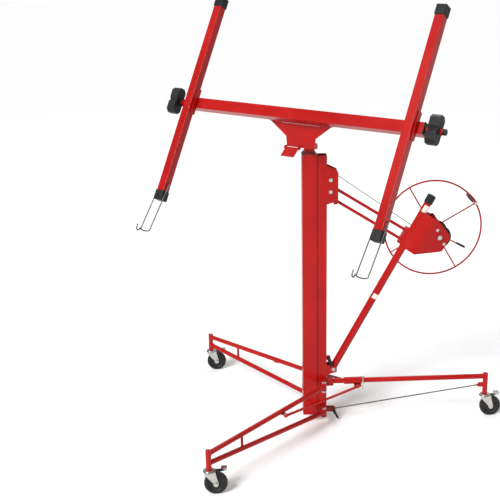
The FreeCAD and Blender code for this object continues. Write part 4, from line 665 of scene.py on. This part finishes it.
def saddle_bead(name, centre, axis, tube_r, sleeve_r, body, sleeve_axis=(0, 0, 1)):
    """Bead where a tube of radius tube_r, running along axis, meets a sleeve about sleeve_axis at centre:
    reach along the tube = sqrt(sleeve_r^2 - (tube_r cos a)^2), with a measured across the sleeve."""
    axis = unit(axis)
    across = unit(np.cross(sleeve_axis, axis))
    upward = np.cross(axis, across)
    angle = np.linspace(0, 2 * np.pi, 120, endpoint=False)[:, None]
    reach = np.sqrt(np.maximum(sleeve_r ** 2 - (tube_r * np.cos(angle)) ** 2, 0))
    round_tube = tube_r * np.cos(angle) * across + tube_r * np.sin(angle) * upward
    path = np.asarray(centre) + axis * reach + round_tube
    ripple = BEAD_R * (1 + 0.16 * np.sin(SADDLE_RIPPLES * angle[:, 0]))
    return dress(swept(name, path, ripple, body, 10, closed=True), "red")


LEG_TUBE_R = 0.011
SLEEVE_R = 0.012
BARREL_R = 0.013
REAR_TUBE_R, REAR_SLEEVE_R, REAR_TUBE_Z = 0.012, 0.0121, 0.203
LEG_TUBES = {"upper": (0.204, 0.186), "lower": (0.070, 0.141)}   # height at the hinge, height at the stem
for side, name in ((1, "right"), (-1, "left")):
    hinge = np.array(JOINTS["leg_%s_fold" % name]["pos_m"])
    stem = np.array(JOINTS["caster_%s_swivel" % name]["pos_m"])
    run = stem - hinge
    run[2] = 0
    for level, (near, far) in LEG_TUBES.items():
        slope = np.array([run[0], run[1], far - near])
        saddle_bead("weld_%s_%s_hinge" % (level, name), [hinge[0], hinge[1], near], slope,
                    LEG_TUBE_R, BARREL_R, "leg_" + name)
        saddle_bead("weld_%s_%s_stem" % (level, name), [stem[0], stem[1], far], -slope,
                    LEG_TUBE_R, SLEEVE_R, "leg_" + name)
saddle_bead("weld_rear_stem", [0, JOINTS["caster_rear_swivel"]["pos_m"][1], REAR_TUBE_Z], [0, -1, 0],
            REAR_TUBE_R, REAR_SLEEVE_R, "frame")
print("weld beads made")


# %% Straight beads on plates, brackets and the cable channel
TILT = math.radians(60.0)
SWIVEL = math.radians(39.0)
U_DIR = np.array([math.sin(SWIVEL), math.cos(SWIVEL), 0])
BACK_DIR = np.array([-math.cos(SWIVEL), math.sin(SWIVEL), 0])
W_DIR = BACK_DIR * math.cos(TILT) + np.array([0, 0, math.sin(TILT)])
N_DIR = np.cross(U_DIR, W_DIR)
BAR_UP, BAR_OUT = 0.017, 0.034          # crossbar's centre from the tilt hinge, along W_DIR and N_DIR
BAR_CENTRE = np.array(JOINTS["cradle_tilt"]["pos_m"]) + BAR_UP * W_DIR + BAR_OUT * N_DIR
BRACKET_U = 0.565                       # arm bracket from the crossbar's middle
BRACKET_HALF = 0.022
BAR_EDGE, BAR_FACE = 0.0252, 0.0254     # crossbar's half height and half depth, with the bead's seat
WINCH_BEAD = (0.672, 0.850)             # from and to, along the winch post
WINCH_BEAD_X, WINCH_BEAD_BACK = 0.0178, -0.0006
CHANNEL_X, CHANNEL_Y = 0.0254, 0.0334   # corner between the column and its cable channel
CHANNEL_BEADS, CHANNEL_FIRST, CHANNEL_STEP, CHANNEL_LENGTH = 9, 0.120, 0.135, 0.042
CHANNEL_BEAD_R = 0.0014
BARREL_HALF, BARREL_W = 0.098, -0.0222


def straight_bead(name, start, end, body, radius=BEAD_R):
    """Bead along a straight edge: radius = r (1 + 0.18 sin), one wave for each 4 mm, tapered at both ends."""
    start, end = np.asarray(start, float), np.asarray(end, float)
    length = np.linalg.norm(end - start)
    share = np.linspace(0, 1, max(12, int(length / BEAD_STEP)))
    wave = 1 + 0.18 * np.sin(2 * np.pi * share * length / BEAD_WAVE)
    taper = np.sqrt(np.clip(1 - (2 * share - 1) ** 12, 0.04, 1))
    path = start + share[:, None] * (end - start)
    return dress(swept(name, path, radius * wave * taper, body, 10), "red")


def cradle_point(u, w, n):
    """Place in the cradle's frame: u along the crossbar, w along the arms, n outwards."""
    return BAR_CENTRE + u * U_DIR + w * W_DIR + n * N_DIR


def post_point(x, back, along):
    """Place in the winch post's frame: x across, back behind the post, along it from its foot bolt."""
    return POST_FOOT + [x, 0, 0] + back * POST_BACK + along * POST_DIR


for side, name in ((1, "right"), (-1, "left")):
    middle = side * BRACKET_U
    for place, edge in (("down", -BAR_EDGE), ("up", BAR_EDGE)):
        straight_bead("weld_bracket_%s_%s" % (name, place),
                      cradle_point(middle - BRACKET_HALF, edge, BAR_FACE),
                      cradle_point(middle + BRACKET_HALF, edge, BAR_FACE), "cradle")
    straight_bead("weld_winch_%s" % name, post_point(side * WINCH_BEAD_X, WINCH_BEAD_BACK, WINCH_BEAD[0]),
                  post_point(side * WINCH_BEAD_X, WINCH_BEAD_BACK, WINCH_BEAD[1]), "frame")
    for step in range(CHANNEL_BEADS):
        low = CHANNEL_FIRST + CHANNEL_STEP * step
        straight_bead("weld_channel_%s_%d" % (name, step), [side * CHANNEL_X, CHANNEL_Y, low],
                      [side * CHANNEL_X, CHANNEL_Y, low + CHANNEL_LENGTH], "frame", CHANNEL_BEAD_R)
straight_bead("weld_barrel_front", cradle_point(-BARREL_HALF, BARREL_W, -BAR_EDGE),
              cradle_point(BARREL_HALF, BARREL_W, -BAR_EDGE), "cradle")
print("straight beads made")


# %% [markdown]
# ## Wire hooks
# A hook is bent from one piece of round wire: two straight sides, a bowed cross piece and a curl that
# holds the panel's edge. Corners of bent wire are always rounded, so the path goes through smoothed
# corners, and the same swept surface as before carries the round section.

# %% Hooks with rounded bends
HOOK_R = 0.003
HOOK_SIDE = 0.0263
HOOK_LEN = 0.235
HOOK_SWING = math.radians(-9.0)
BOW_DEPTH = 0.007
BEND_R = 0.0045
CURL_R = 0.011
CURL_SIDE = 0.006       # the curl stands this far outside the hook's side
CURL_STEPS = 19


def hook_frame(name):
    """Pivot, and rows with the across, along and outward directions; along is the arm's, swung to rest."""
    along = W_DIR * math.cos(HOOK_SWING) + N_DIR * math.sin(HOOK_SWING)
    axes = np.array([U_DIR, along, np.cross(U_DIR, along)])
    return np.array(JOINTS["hook_%s_swing" % name]["pos_m"]), axes


for name in ("left", "right"):
    pivot, axes = hook_frame(name)
    bow = np.linspace(0, np.pi, 9)[1:-1]
    cross = np.stack([-HOOK_SIDE * np.cos(bow), -HOOK_LEN - BOW_DEPTH * np.sin(bow), 0 * bow], -1)
    loop = np.vstack([[[0, 0, 0], [-HOOK_SIDE, 0, 0], [-HOOK_SIDE, -HOOK_LEN, 0]], cross,
                      [[HOOK_SIDE, -HOOK_LEN, 0], [HOOK_SIDE, 0, 0], [0, 0, 0]]])
    path = pivot + rounded_outline(loop, BEND_R, 6) @ axes
    wire = dress(swept("hook_wire_" + name, path, HOOK_R, "hook_" + name, 16), "dull_wire")
    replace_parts(wire, "panel_hook_" + name)
    angle = np.linspace(0, np.pi, CURL_STEPS)
    curl = np.stack([np.full(CURL_STEPS, -HOOK_SIDE - CURL_SIDE), -HOOK_LEN - CURL_R * np.sin(angle) - 0.002,
                     CURL_R * (1 - np.cos(angle))], -1)
    curl = np.vstack([[[-HOOK_SIDE, -HOOK_LEN + 0.008, 0]], curl, curl[-1:] + [[0, 0.014, 0.002]]])
    dress(swept("hook_curl_" + name, pivot + rounded_outline(curl, 0.004, 4) @ axes, HOOK_R,
                "hook_" + name, 16), "dull_wire")
print("hooks bent")


# %% [markdown]
# ## Floor, light and camera
# The hoist stands on a plain pale floor in soft studio light: a broad sun-like key high on the left, a
# fill from the right, a light from above and behind for the edges, a small strip at the front and a pale
# world. The camera stands to the hoist's side, a little above the cradle.

# %% Floor
FLOOR_REACH = 30.0


def stage_floor():
    """Large flat sheet under the casters, faintly mottled so that it isn't one flat colour."""
    mesh = bpy.data.meshes.new("studio_floor")
    corners = [(x * FLOOR_REACH, y * FLOOR_REACH, 0) for x, y in ((-1, -1), (1, -1), (1, 1), (-1, 1))]
    mesh.from_pydata(corners, [], [(0, 1, 2, 3)])
    floor = bpy.data.objects.new("studio_floor", mesh)
    bpy.context.scene.collection.objects.link(floor)
    material = bpy.data.materials.new("pale_floor")
    material.use_nodes = True
    tree = material.node_tree
    shader = tree.nodes["Principled BSDF"]
    place = add_node(tree, "ShaderNodeTexCoord").outputs["Object"]
    tone = noise_node(tree, place, 0.8, 3.0)
    mottled = colour_mix(tree, tone, (0.93, 0.93, 0.93), (0.96, 0.96, 0.96))
    tree.links.new(mottled, shader.inputs["Base Color"])
    shader.inputs["Roughness"].default_value = 0.75
    mesh.materials.append(material)


stage_floor()


# %% Lights and world
WORLD_LIGHT = 0.42       # brightness that falls on the hoist
WORLD_SEEN = 1.0         # brightness of the backdrop itself


def area_light(name, place, target, size, power):
    """Square area light that faces a target."""
    light = bpy.data.lights.new(name, "AREA")
    light.size = size
    light.energy = power
    holder = bpy.data.objects.new(name, light)
    holder.location = place
    direction = Vector(target) - Vector(place)
    holder.rotation_euler = direction.to_track_quat("-Z", "Y").to_euler()
    bpy.context.scene.collection.objects.link(holder)


def sun_light(name, place, strength, softness):
    """Broad even light that comes from the direction of a place; softness is its width in degrees."""
    light = bpy.data.lights.new(name, "SUN")
    light.energy = strength
    light.angle = math.radians(softness)
    holder = bpy.data.objects.new(name, light)
    holder.location = place
    holder.rotation_euler = (-Vector(place)).to_track_quat("-Z", "Y").to_euler()
    bpy.context.scene.collection.objects.link(holder)


sun_light("key_light", (4.5, -4.0, 5.0), 3.3, 24)
area_light("fill_light", (4.5, 4.5, 3.0), (0, 0.2, 0.9), 2.0, 26)
area_light("edge_light", (-3.5, 1.0, 4.5), (0, 0, 1.0), 2.5, 60)
area_light("strip_light", (3.2, -2.6, 3.6), (0, 0, 1.0), 1.2, 22)
world = bpy.data.worlds.new("studio_world")
world.use_nodes = True
sky = world.node_tree
backdrop = sky.nodes["Background"]
ray = add_node(sky, "ShaderNodeLightPath")
glow = add_node(sky, "ShaderNodeMapRange")
sky.links.new(ray.outputs["Is Camera Ray"], glow.inputs["Value"])
glow.inputs["To Min"].default_value = WORLD_LIGHT
glow.inputs["To Max"].default_value = WORLD_SEEN
backdrop.inputs["Color"].default_value = (1.0, 1.0, 1.0, 1.0)
sky.links.new(glow.outputs["Result"], backdrop.inputs["Strength"])
bpy.context.scene.world = world
bpy.context.scene.view_settings.view_transform = "Standard"
print("lights set")


# %% Camera
CAMERA_PLACE = (4.3137, -0.3634, 2.272)
YAW, PITCH, ROLL = 0.0219, 0.3145, -0.0223
LENS = 72.0


def stand_camera():
    """Camera that looks along -X, turned by yaw, tipped down by pitch and rolled."""
    up = np.array([0, 0, 1.0])
    ahead = np.array([-math.cos(YAW), math.sin(YAW), 0])
    right = np.array([math.sin(YAW), math.cos(YAW), 0])
    looking = ahead * math.cos(PITCH) - up * math.sin(PITCH)
    top = up * math.cos(PITCH) + ahead * math.sin(PITCH)
    rolled_right = right * math.cos(ROLL) + top * math.sin(ROLL)
    rolled_top = top * math.cos(ROLL) - right * math.sin(ROLL)
    turn = Matrix(np.stack([rolled_right, rolled_top, -looking], 1).tolist())
    data = bpy.data.cameras.new("studio_camera")
    data.lens = LENS
    data.sensor_width = 36.0
    data.clip_end = 100.0
    camera = bpy.data.objects.new("studio_camera", data)
    camera.matrix_world = Matrix.Translation(CAMERA_PLACE) @ turn.to_4x4()
    bpy.context.scene.collection.objects.link(camera)
    bpy.context.scene.camera = camera


stand_camera()


# %% [markdown]
# ## The finished scene


print("scene built")
